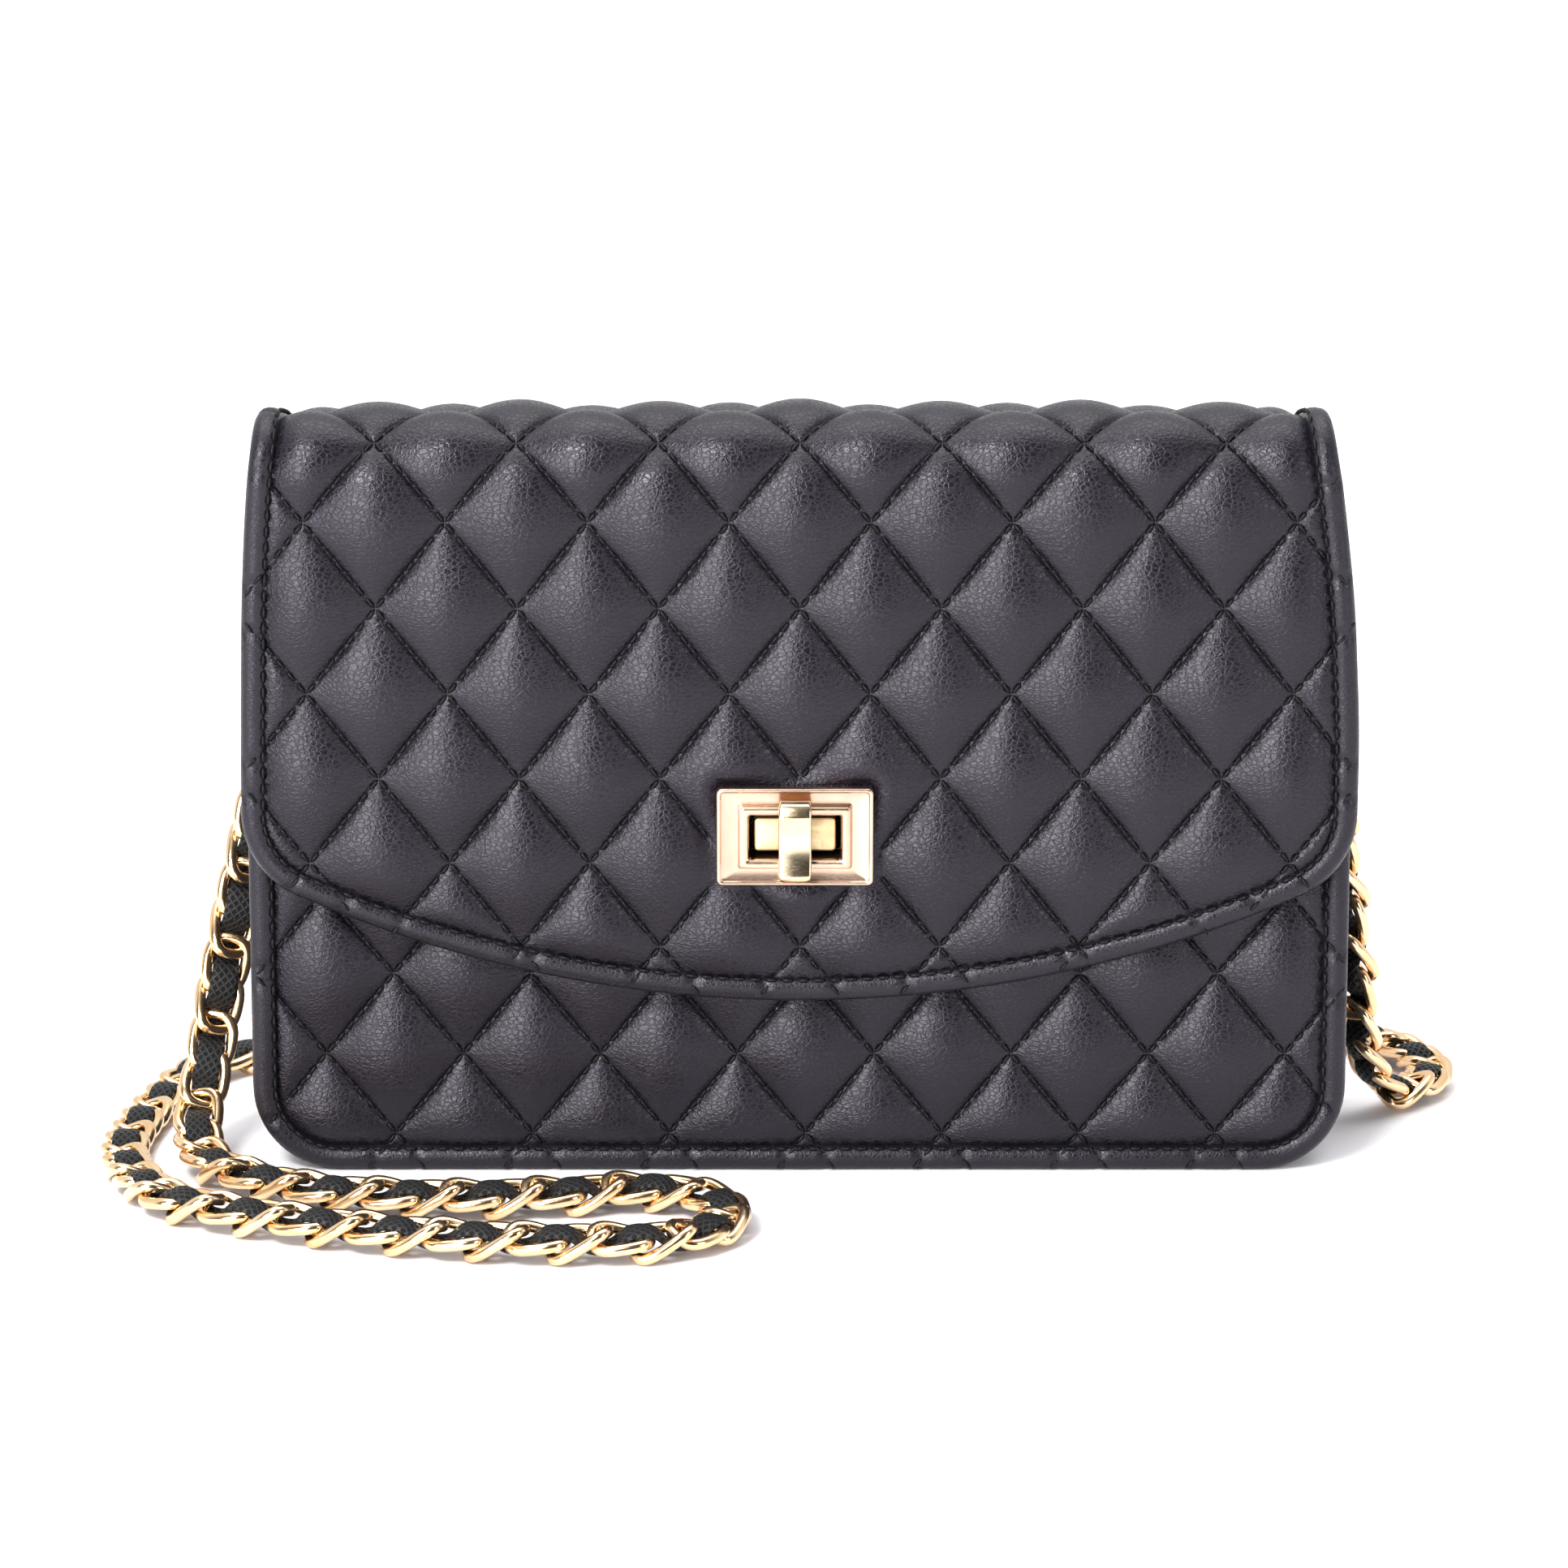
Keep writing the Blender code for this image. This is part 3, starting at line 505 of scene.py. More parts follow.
# where a diamond's grid lines fall, as shares of its side: closer together near the creases
GRADE = np.array([0, 0.017, 0.042, 0.078, 0.125, 0.185, 0.26, 0.34, 0.42, 0.5,
                  0.58, 0.66, 0.74, 0.815, 0.875, 0.922, 0.958, 0.983])
BORDER = 0.0042                # width of the rolled border, to its stitched groove
LOCK = (-0.0008, 0.0664)       # the lock's centre (x, z)
FRAME_HALF = (0.0143, 0.0091)
WINDOW_HALF = (0.0084, 0.0041)
PUFF_POWER = 0.66              # the fullness of the diamonds: 1 is a sine, less is fuller
PADDING_FADE = 0.0024          # the padding thins out over this distance from the border
CREASE_DIP, CREASE_WIDTH = 0.00022, 0.0004
PUCKER, PUCKER_OFF, PUCKER_WIDTH = 0.00007, 0.0016, 0.0013
GROOVE_DIP, GROOVE_WIDTH = 0.0004, 0.001
LOCK_FADE = 0.0013             # the leather is pressed flat within this distance of the lock
STITCHES_PER_CELL = 7
STITCH_LENGTH, STITCH_RADIUS, STITCH_RAISED = 0.0024, 0.0003, 0.00027
STITCH_RISE = np.array([-0.0003, 0.00008, 0.0002, 0.00008, -0.0003])
TOP_FOLD_S, TOP_FOLD_REACH = -0.013, 0.011       # where the flap's border stands higher, on its fold


def by_lock(x, s, lock_s, half, margin):
    """Which places (x, s) are within a margin of a rectangle about the lock, if there is one."""
    if lock_s is None:
        return np.zeros(x.shape, bool)
    return (np.abs(x - LOCK[0]) < half[0] + margin) & (np.abs(s - lock_s) < half[1] + margin)


def past_box(x, s, half):
    """How far places (x, s) are outside a rectangle about (0, 0)."""
    return np.hypot(np.maximum(np.abs(x) - half[0], 0.0), np.maximum(np.abs(s) - half[1], 0.0))


def quilt_height(quilt, a, b, inside, lock_s):
    """Height of the quilted surface over its path, and a share that is high on its crests and low in its
    creases and by the border (roughness worn smoother on the crests, and painted shade darker in the
    creases), at (a, b).
    """
    ia, ib = np.floor(a), np.floor(b)
    fa, fb = a - ia, b - ib
    x, s = quilt.xs(a, b)
    puff = np.clip(np.sin(math.pi * fa) * np.sin(math.pi * fb), 0, 1) ** PUFF_POWER
    vary = 1.0 + 0.07 * np.sin(ia * 12.9898 + ib * 78.233)
    lean = 0.05 * np.sin(ia * 3.7 + ib * 9.1) * (fa - 0.5) + 0.05 * np.sin(ia * 7.3 - ib * 5.1) * (fb - 0.5)
    puff = puff * (vary + lean)
    line = np.minimum(np.minimum(fa, 1 - fa), np.minimum(fb, 1 - fb)) * quilt.apart
    pucker = waves(x / 0.0011, s / 0.0016, 3.0) * np.exp(-((line - PUCKER_OFF) / PUCKER_WIDTH) ** 2)
    edge = 1.0 - np.exp(-np.maximum(inside - BORDER, 0.0) / PADDING_FADE)
    height = quilt.crease + (quilt.crest - quilt.crease) * puff * edge
    height = height - CREASE_DIP * np.exp(-(line / CREASE_WIDTH) ** 2) + PUCKER * pucker
    height = height + 0.00018 * waves(x / 0.028, s / 0.022, 1.0)
    height = height - GROOVE_DIP * np.exp(-(np.maximum(inside - 0.0032, 0) / GROOVE_WIDTH) ** 2)
    if lock_s is not None:
        near = np.exp(-(past_box(x - LOCK[0], s - lock_s, FRAME_HALF) / LOCK_FADE) ** 2)
        height = height * (1 - near) - 0.0001 * near
    return height, np.clip(puff * edge, 0, 1)


def quilted_skin(build, path, quilt, outline, lock_s=None):
    """The quilted leather inside the rolled border. Its grid follows the quilting lines."""
    low, high = quilt.span(outline)
    values = [np.concatenate([k + GRADE for k in range(low[i], high[i])]) for i in (0, 1)]
    a, b = np.meshgrid(*values, indexing="ij")
    x, s = quilt.xs(a, b)
    inside = inside_distance(outline, x, s)
    height, wear = quilt_height(quilt, a, b, inside, lock_s)
    good = (inside > 0.002) & ~by_lock(x, s, lock_s, WINDOW_HALF, 0.0002)
    build.grid(path.place(x, s, height), keep=whole_quads(good), cloth=flat_cloth(x, s), wear=wear, key=s)


def stitch_row(build, path, at, heading, height):
    """Stitches centred at (x, s), each along its heading, standing a little over a height."""
    run = np.linspace(-0.5, 0.5, 5) * STITCH_LENGTH
    heading = np.broadcast_to(heading, at.shape)
    x = at[:, :1] + heading[:, :1] * run
    s = at[:, 1:] + heading[:, 1:] * run
    centres = path.place(x, s, height[:, None] + STITCH_RISE)
    normals = path.normal(s)
    cloth = flat_cloth(np.repeat(run[:, None], THREAD_SIDES, axis=1), 0.0)
    for i, (x0, s0) in enumerate(at):
        thread(build, centres[i], normals[i], STITCH_RADIUS, cloth=cloth + [x0, s0, 0.0], key=s0)


def quilt_stitches(build, path, quilt, outline, section, lock_s=None):
    """Stitches along both families of quilting lines, over the panel and over its border."""
    low, high = quilt.span(outline)
    rolled = np.array(section[8::-1]) * MM
    for family in (0, 1):
        other = 1 - family
        run = (np.arange(low[other] * STITCHES_PER_CELL, high[other] * STITCHES_PER_CELL) + 0.5)
        run = run / STITCHES_PER_CELL
        heading = np.array([quilt.pitch / 2, quilt.half if family else -quilt.half]) / quilt.side
        for k in range(low[family], high[family] + 1):
            line = np.full_like(run, k)
            a, b = (run, line) if family else (line, run)
            x, s = quilt.xs(a, b)
            inside = inside_distance(outline, x, s)
            good = (inside > BORDER + 0.0008) | ((inside > 0.0007) & (inside < 0.0036))
            good &= ~by_lock(x, s, lock_s, FRAME_HALF, 0.0008)
            if not good.any():
                continue
            inside = inside[good]
            height, _ = quilt_height(quilt, a[good], b[good], inside, lock_s)
            on_border = np.interp(inside, rolled[:, 0], rolled[:, 1]) - 0.0005
            height = np.where(inside > BORDER, height, on_border)
            stitch_row(build, path, np.stack([x, s], -1)[good], heading, height + STITCH_RAISED)


def rolled_border(build, path, quilt, line, section, closed=False, stitch_height=-0.00035, over_fold=0.0):
    """The rolled border along a line (x, s), with the outline's inside on its left."""
    line = resample(line, 0.0009, closed)
    heading = heading_of(line, closed)
    inward = left_of(heading)
    reach = reach_of(line)

    def raised(s):
        return over_fold * np.exp(-((s - TOP_FOLD_S) / TOP_FOLD_REACH) ** 2)

    section = np.array(section) * MM
    d, rise = section.T
    shown = np.clip((rise + 0.0016) / 0.0012, 0, 1)
    middle = line + inward * 0.0022
    notch = np.exp(-(quilt.off_line(middle[:, 0], middle[:, 1]) / 0.00055) ** 2)[:, None]
    swell = 0.00012 * waves(reach / 0.006, 0.0, 2.0) + 0.00006 * waves(reach / 0.0022, 0.0, 5.0)
    h = rise + raised(line[:, 1:]) + shown * (swell[:, None] - 0.00055 * notch)
    x = line[:, :1] + inward[:, :1] * d
    s = line[:, 1:] + inward[:, 1:] * d
    # painted shade: the turned-under side of the roll and its notches at the quilting lines are darker, and
    # its top is lighter
    wear = np.clip(0.5 + shown * 0.4 - notch * 0.4, 0, 1)
    build.grid(path.place(x, s, h), wrap_rows=closed, wrap_columns=True,
               cloth=flat_cloth(reach[:, None], reach_of(section)), wear=wear, key=s)
    along = np.arange(0.0015, reach[-1], 0.003)
    turn = unit(at_reach(along, reach, heading))
    at = at_reach(along, reach, line) + left_of(turn) * 0.00425
    stitch_row(build, path, at, turn, raised(at[:, 1]) + stitch_height)


# ---- the leather shell: up the back, over the sloping top, and down the flap's front ----
BACK_Y, FLAP_Y = 0.025, -0.0308
BACK_LOW, FLAP_END = 0.004, 0.025      # the path starts this far under the floor, and ends at this height
TOP_SLOPES = (5.0, 27.15)               # the top bulges: its slope at its front and at its back
TOP_RADIUS = 0.1002
FOLD_Z, BACK_FOLD_Z = 0.1302, 0.1215
FRONT_FOLD = ((-0.019, FOLD_Z), 0.0118)
BACK_FOLD = ((0.014, BACK_FOLD_Z), 0.011)
back_rise = np.array([[BACK_Y, -BACK_LOW], [BACK_Y, BACK_FOLD_Z]])
back_turn = arc(*BACK_FOLD, 0, 90 - TOP_SLOPES[1], 40)
front_turn = arc(*FRONT_FOLD, 90 - TOP_SLOPES[0], 180, 40)
top_turn = arc((0.0, 0.0), TOP_RADIUS, 90 - TOP_SLOPES[1], 90 - TOP_SLOPES[0], 30)
top_turn = top_turn - top_turn[0] + back_turn[-1]
front_fall = np.array([[FLAP_Y, FOLD_Z], [FLAP_Y, FLAP_END]])
shell_points = np.vstack([back_rise, back_turn[1:], top_turn[1:-1], front_turn, front_fall[1:]])
SHELL_ZERO = reach_of(shell_points)[-1] - (FOLD_Z - FLAP_END)
SHELL = Path(shell_points, SHELL_ZERO)


def back_s(z):
    return BACK_LOW - SHELL_ZERO + z


def front_s(z):
    return FOLD_Z - z


SPLIT_S = -0.037              # the flap begins here, where the back ends
LOCK_S = front_s(LOCK[1])
edge_s = np.array([back_s(0.016), back_s(0.06), back_s(0.118), SPLIT_S, -0.025, -0.009, 0.0062,
                   0.0222, 0.0452, 0.0606])
right_x = np.array([101.5, 101.3, 97.6, 96.0, 95.8, 96.6, 98.8, 100.7, 102.0, 102.0]) * MM
left_x = np.array([-101.5, -101.3, -98.6, -98.2, -98.2, -98.8, -100.2, -101.1, -101.7, -102.0]) * MM


def side_line(s, table):
    """A side edge (x, s), its x eased through its table."""
    fine = np.interp(s[:, None] + np.linspace(-0.006, 0.006, 13)[None, :], edge_s, table)
    return np.stack([fine.mean(axis=1), s], -1)


CORNER = 0.017
SWEEP = 0.2225                 # the flap's lower edge is an arc of this radius
FLAP_LOW = 0.0342
corner_x = 0.102 - CORNER
sweep_z = FLAP_LOW + SWEEP
corner_z = sweep_z - math.sqrt((SWEEP - CORNER) ** 2 - corner_x ** 2)
lean_deg = math.degrees(math.asin(corner_x / (SWEEP - CORNER)))

side_s = np.linspace(SPLIT_S, front_s(corner_z), 90)[:-1]
corner_arc = arc((corner_x, corner_z), CORNER, 0, lean_deg - 90, 24)
sweep_arc = arc((0.0, sweep_z), SWEEP, lean_deg - 90, -90, 40)
half_low = np.vstack([corner_arc, sweep_arc[1:]])
low_right = np.stack([half_low[:, 0], front_s(half_low[:, 1])], -1)
flap_line = np.vstack([side_line(side_s, right_x), low_right, mirrored(low_right[:-1][::-1]),
                       side_line(side_s, left_x)[::-1]])

BODY_CORNER = arc((0.0855, 0.016), 0.016, 0, -90, 20)
rear_s = np.linspace(SPLIT_S, back_s(0.016), 110)
rear_low = np.stack([BODY_CORNER[:, 0], back_s(BODY_CORNER[:, 1])], -1)
rear_line = np.vstack([side_line(rear_s, left_x), mirrored(rear_low)[1:], rear_low[::-1][:-1],
                       side_line(rear_s, right_x)[::-1]])
shell_outline = np.vstack([resample(flap_line, 0.002), resample(rear_line, 0.002)[1:-1]])

BODY_TOP = 0.1304              # the height where s is 0 on the body's front
FLAP_QUILT = Quilt(0.0256, 0.01582, 0.0001, front_s(0.1079), -0.0011, 0.0019)
BODY_QUILT = Quilt(0.0254, 0.0154, 0.0012, BODY_TOP - 0.0377, -0.002, 0.0009)

# a rolled border's section in mm: (distance in from the outline, height over the path)
FLAP_SECTION = [(4.7, -1.9), (4.45, -1.0), (4.0, -0.35), (3.2, 0.12), (2.2, 0.22), (1.3, 0.0),
                (0.6, -0.55), (0.15, -1.35), (0.0, -2.4), (0.1, -3.4), (0.5, -4.3), (1.2, -4.9),
                (2.3, -5.15), (3.6, -5.1), (4.6, -4.8), (4.7, -3.4)]
BODY_SECTION = [(4.7, -2.6), (4.45, -1.5), (4.0, -0.75), (3.2, -0.18), (2.2, 0.0), (1.3, -0.15),
                (0.6, -0.55), (0.15, -1.15), (0.0, -1.9), (0.1, -2.6), (0.5, -3.2), (1.2, -3.6),
                (2.3, -3.75), (3.6, -3.7), (4.6, -3.5), (4.7, -3.0)]


def is_flap(s):
    return s > SPLIT_S


def is_rear(s):
    return s <= SPLIT_S


skin = Build()
quilted_skin(skin, SHELL, FLAP_QUILT, shell_outline, LOCK_S)
quilt_stitches(skin, SHELL, FLAP_QUILT, shell_outline, FLAP_SECTION, LOCK_S)
roll = Build()
rolled_border(roll, SHELL, FLAP_QUILT, flap_line, FLAP_SECTION, over_fold=0.001)
rolled_border(roll, SHELL, FLAP_QUILT, rear_line, FLAP_SECTION)

# the shell's lining, flat where the lock's back frame lies on it
BACK_FRAME_HALF = (0.0145, 0.0092)
inner = Build()
X, S = np.meshgrid(np.arange(-0.103, 0.1031, 0.002), np.arange(back_s(0.117), front_s(0.03), 0.002))
sound = (inside_distance(shell_outline, X, S) > 0.0016) & ~by_lock(X, S, LOCK_S, WINDOW_HALF, 0.0012)
near_lock = np.exp(-(past_box(X, S - LOCK_S, BACK_FRAME_HALF) / 0.003) ** 2)
ripple = 0.00012 * waves(X / 0.011, S / 0.009, 4.0)
inner.grid(SHELL.place(X, S, -0.0049 - 0.0001 * near_lock + ripple * (1 - near_lock)),
           keep=whole_quads(sound), flip=True, cloth=flat_cloth(X, S), key=S)

flap_leather = skin.make("flap_quilted_leather", [LEATHER, THREAD], is_flap)
rear_leather = skin.make("back_quilted_leather", [LEATHER, THREAD], is_rear)
flap_roll = roll.make("flap_rolled_edge", [EDGE, THREAD], is_flap)
rear_roll = roll.make("back_rolled_edge", [EDGE, THREAD], is_rear)
flap_inner = inner.make("flap_lining", [SIDE], is_flap)
rear_inner = inner.make("flap_back_lining", [SIDE], is_rear)
for piece in (flap_leather, flap_roll, flap_inner):
    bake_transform(piece)
for piece in (rear_leather, rear_roll, rear_inner):
    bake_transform(piece)
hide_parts("flap_front_leather", "flap_front_padding", "flap_top_leather", "flap_top_padding")
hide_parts("back_leather", "back_padding")
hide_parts("flap_front_binding", "flap_top_binding_left", "flap_top_binding_right")
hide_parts("back_binding")
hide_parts("flap_front_lining", "flap_top_lining")

# ---- the body's front ----
FRONT = Path([(-BACK_Y, BODY_TOP + 0.004), (-BACK_Y, -0.004)], 0.004)
front_top = arc((0.096, 0.127 - 0.003), 0.003, 90, 0, 5)
front_half = np.vstack([front_top, [[0.0992, 0.12], [0.1013, 0.07]], BODY_CORNER])
front_outline = np.vstack([front_half, mirrored(front_half)[::-1]])
front_outline[:, 1] = BODY_TOP - front_outline[:, 1]
front_outline = resample(front_outline, 0.002, closed=True)
face = Build()
quilted_skin(face, FRONT, BODY_QUILT, front_outline)
quilt_stitches(face, FRONT, BODY_QUILT, front_outline, BODY_SECTION)
front_leather = face.make("front_quilted_leather", [LEATHER, THREAD], body="bag")
hem = Build()
rolled_border(hem, FRONT, BODY_QUILT, front_outline, BODY_SECTION, closed=True, stitch_height=-0.00075)
front_roll = hem.make("front_rolled_edge", [EDGE, THREAD], body="bag")
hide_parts("front_leather", "front_padding")
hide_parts("front_binding")

# ---- strap: curb links with a ribbon woven through ----
ROUTE_MM = (
    (-97.5, 0, 108.3), (-97.5, 0, 98), (-98.2, 0, 84), (-100.8, -0.5, 66), (-105, -2, 48),
    (-108.6, -5, 31), (-111.2, -9, 16.5), (-112.6, -17, 7.5), (-110, -29, 4.9),
    (-102, -40, 4.9), (-86, -49.5, 4.9), (-63, -53, 4.9), (-42, -51, 4.9),
    (-27, -48.5, 4.9), (-16, -53.5, 4.9), (-13.5, -65, 4.9), (-21.5, -75.5, 4.9),
    (-40, -78.5, 4.9), (-70, -74, 4.9), (-98, -63.5, 4.9), (-113.5, -53.5, 4.9),
    (-121, -40, 4.9), (-126, -22, 4.9), (-125.5, -3, 4.9), (-122, 16, 4.9),
    (-116, 33, 4.9), (-101, 45, 4.9), (-78, 47.5, 4.9), (-48, 46, 4.9), (-10, 44, 4.9),
    (30, 44, 4.9), (56, 47.5, 4.9), (69, 60, 4.9), (68, 75, 4.9), (53, 85.5, 4.9),
    (20, 86, 4.9), (-20, 84, 4.9), (-43, 88, 4.9), (-55, 102, 4.9), (-47, 118, 4.9),
    (-26, 125, 4.9), (6, 121, 4.9), (45, 115, 4.9), (78, 104, 4.9), (95, 86, 4.9),
    (104.5, 68, 4.9), (113, 54, 4.9), (120.5, 43.5, 4.9), (123.6, 32, 4.9),
    (121, 21.5, 4.9), (115.3, 15, 5.2), (110.3, 10, 9.3), (107.5, 6.8, 17), (106, 5, 27),
    (104.6, 4, 38), (102.8, 2.5, 50), (99.8, 0.8, 66), (98, 0, 82), (97.5, 0, 98),
    (97.5, 0, 108.3),
)


def smooth_route(points, step):
    """A centripetal curve through the points, resampled evenly."""
    points = np.array(points, float) * MM
    padded = np.vstack([2 * points[0] - points[1], points, 2 * points[-1] - points[-2]])
    fine = []
    for p0, p1, p2, p3 in zip(padded, padded[1:], padded[2:], padded[3:]):
        t1 = np.linalg.norm(p1 - p0) ** 0.5
        t2 = t1 + np.linalg.norm(p2 - p1) ** 0.5
        t3 = t2 + np.linalg.norm(p3 - p2) ** 0.5
        t = np.linspace(t1, t2, 25)[:-1, None]

        def mix(p, q, low, high):
            return p * ((high - t) / (high - low)) + q * ((t - low) / (high - low))

        middle = mix(p1, p2, t1, t2)
        first = mix(mix(p0, p1, 0.0, t1), middle, 0.0, t2)
        second = mix(middle, mix(p2, p3, t2, t3), t1, t3)
        fine.append(mix(first, second, t1, t2))
    fine.append(points[-1:])
    return resample(np.vstack(fine), step)


LINK_HALF = (0.00515, 0.00365)        # half length and half width, to the wire's centre
LINK_POWER = 2 / 2.6
LINK_PITCH = 0.0074
WIRE = 0.00112
TWISTS = (0.0011, 0.0018)             # of a low link, and of a steep one
TILTS = (-0.0003, 0.0018)
FIRST_LINK = 0.00145
RIBBON_HALF = (0.0024, 0.00074)       # lying; it shows wider where it hangs
RIBBON_WIDER = 0.0002
RIBBON_SWING = 0.0016
RESTING_Z = 0.0056                    # a link whose centre is lower lies on the floor
LYING_BACK, LYING_FRONT = np.array([0.0, -0.1, 0.99]), np.array([0.0, -0.21, 0.98])
HANGING_LEFT, HANGING_RIGHT = np.array([0.25, -0.97, 0.0]), np.array([-0.75, -0.66, 0.0])

strap_line = smooth_route(ROUTE_MM, 0.0005)
strap_reach = reach_of(strap_line)
STRAP_LENGTH = float(strap_reach[-1])
link_count = int(round((STRAP_LENGTH - 2 * FIRST_LINK) / LINK_PITCH)) + 1
link_pitch = (STRAP_LENGTH - 2 * FIRST_LINK) / (link_count - 1)


def strap_frames(s, line):
    """Centre, direction, flat side's normal and width direction at distances along the strap."""
    centre = at_reach(s, strap_reach, line)
    half_link = 0.0037
    heading = unit(at_reach(s + half_link, strap_reach, line) - at_reach(s - half_link, strap_reach, line))
    lifted = ease(centre[:, 2:], 0.007, 0.027)
    front = np.clip((-0.02 - centre[:, 1:2]) / 0.015, 0, 1)
    lying = LYING_BACK * (1 - front) + LYING_FRONT * front
    hanging = np.where(centre[:, :1] > 0, HANGING_RIGHT, HANGING_LEFT)
    normal = square_to(heading, hanging * lifted + lying * (1 - lifted))
    return centre, heading, normal, np.cross(normal, heading)


def link_points(s, odd, line):
    """Wire centres of one link, on its place along the strap."""
    u, v = superellipse(30, LINK_POWER, LINK_POWER)
    centre, heading, normal, across = strap_frames(np.array([s]), line)
    hung = np.clip((centre[0, 2] - 0.012) / 0.02, 0, 1)
    way = float(np.clip(1.6 * heading[0, 0] * (1 - hung) + 1.2 * hung, -1, 1))
    steep = 0.5 + 0.5 * way * (1.0 if odd else -1.0)
    twist, tilt = [low + (high - low) * steep for low, high in (TWISTS, TILTS)]
    z = -twist * u * v + tilt * way * u
    return (centre + u[:, None] * LINK_HALF[0] * heading + v[:, None] * LINK_HALF[1] * across
            + z[:, None] * normal)


# the line sinks until the links that lie on the floor touch it
link_s = FIRST_LINK + link_pitch * np.arange(link_count)
link_low = np.array([link_points(s, i % 2, strap_line)[:, 2].min() - WIRE for i, s in enumerate(link_s)])
link_low = np.minimum(link_low, np.minimum(np.roll(link_low, 1), np.roll(link_low, -1)))
resting = at_reach(link_s, strap_reach, strap_line)[:, 2] < RESTING_Z
drop = np.where(resting, link_low - 0.0002, 0.0)
blur = np.hanning(9)[1:-1]
drop = np.convolve(np.pad(drop, 3, "edge"), blur / blur.sum(), "valid")
strap_line[:, 2] -= np.interp(strap_reach, link_s, drop)

chain = Build()
for i, s in enumerate(link_s):
    normal = strap_frames(np.array([s]), strap_line)[2]
    points = wire_ring(link_points(s, i % 2, strap_line), normal, WIRE, 10)
    chain.grid(points, wrap_rows=True, wrap_columns=True, cloth=points + i * 0.01)
chain_piece = chain.make("strap_links", [CHAIN_GOLD], body="bag")

# the ribbon: a flat soft cord that swings over one link and under the next
ribbon_s = np.arange(FIRST_LINK - 0.002, STRAP_LENGTH - FIRST_LINK + 0.002, 0.0005)
centre, heading, normal, across = strap_frames(ribbon_s, strap_line)
swing = np.cos(math.pi * ((ribbon_s - FIRST_LINK) / link_pitch - 0.5))
swing = np.tanh(1.3 * swing) / math.tanh(1.3)
centre = centre + normal * (swing * RIBBON_SWING)[:, None]
heading = heading_of(centre)
across = unit(np.cross(square_to(heading, normal), heading))
u, v = superellipse(18, 0.75, 0.85)
u, v = u * RIBBON_HALF[0], v * RIBBON_HALF[1]
reach = reach_of(centre)[:, None]
plump = 1.0 + 0.05 * waves(reach / 0.003, 0.0, 6.0)
plump = plump + RIBBON_WIDER / RIBBON_HALF[0] * np.clip((centre[:, 2:] - 0.01) / 0.01, 0, 1)
points = (centre[:, None, :] + across[:, None, :] * (u * plump)[..., None]
          + np.cross(heading, across)[:, None, :] * v[:, None])
cloth = flat_cloth(reach, np.where(v >= 0, u, 2 * RIBBON_HALF[0] - u))
cloth[..., 2] = v
ribbon = Build()
ribbon.grid(points, wrap_columns=True, caps=True, cloth=cloth)
ribbon_piece = ribbon.make("strap_ribbon", [RIBBON], body="bag")

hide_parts("strap_chain")


# ---- lock ----
def lock_loops(levels):
    """Rounded rectangles about the lock's centre from (width, height, corner radius, depth y), in mm."""
    rings = []
    for width, height, radius, y in levels:
        corners = [arc((side * (width / 2 - radius), up * (height / 2 - radius)), radius,
                       90 * turn, 90 * turn + 90, 6)
                   for turn, (side, up) in enumerate(((1, 1), (-1, 1), (-1, -1), (1, -1)))]
        loop = np.vstack(corners) * MM
        rings.append(np.stack([loop[:, 0] + LOCK[0], np.full(len(loop), y * MM), loop[:, 1] + LOCK[1]], -1))
    return np.array(rings)


lock = Build()
FRAME = [(28.6, 18.2, 1.0, -31.1), (28.6, 18.2, 1.0, -33.6), (28.5, 18.1, 1.0, -33.9),
         (28.2, 17.8, 0.9, -34.1), (27.7, 17.3, 0.8, -34.15), (27.2, 16.8, 0.7, -34.05),
         (27.0, 16.6, 0.6, -33.85), (26.7, 16.3, 0.6, -33.75), (26.0, 15.7, 0.6, -33.72),
         (21.2, 12.4, 0.6, -33.05), (20.8, 12.1, 0.6, -33.1), (20.5, 11.8, 0.6, -33.5),
         (20.3, 11.6, 0.6, -34.4), (20.1, 11.4, 0.6, -34.65), (19.7, 11.0, 0.6, -34.8),
         (18.4, 9.8, 0.5, -34.8), (17.5, 8.9, 0.5, -34.7), (17.0, 8.4, 0.5, -34.45),
         (16.8, 8.2, 0.5, -34.1), (16.8, 8.2, 0.5, -26.4), (19.5, 10.5, 0.5, -26.4),
         (19.5, 10.5, 0.5, -31.0)]
lock.grid(lock_loops(FRAME), wrap_rows=True, wrap_columns=True)
lock_frame = lock.make("lock_bezel", [LOCK_GOLD], body="flap_front")
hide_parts("lock_frame")

boss = Build()
BOSS = [(15.0, 6.3, 0.8, -25.4), (15.0, 6.3, 0.8, -31.4), (14.9, 6.2, 0.8, -31.6), (14.6, 5.9, 0.7, -31.75),
        (14.2, 5.5, 0.6, -31.8), (6.0, 2.0, 0.5, -31.8)]
boss.grid(lock_loops(BOSS), wrap_columns=True, caps=True)
boss_piece = boss.make("lock_boss", [BASE_GOLD], body="bag")
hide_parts("lock_base")

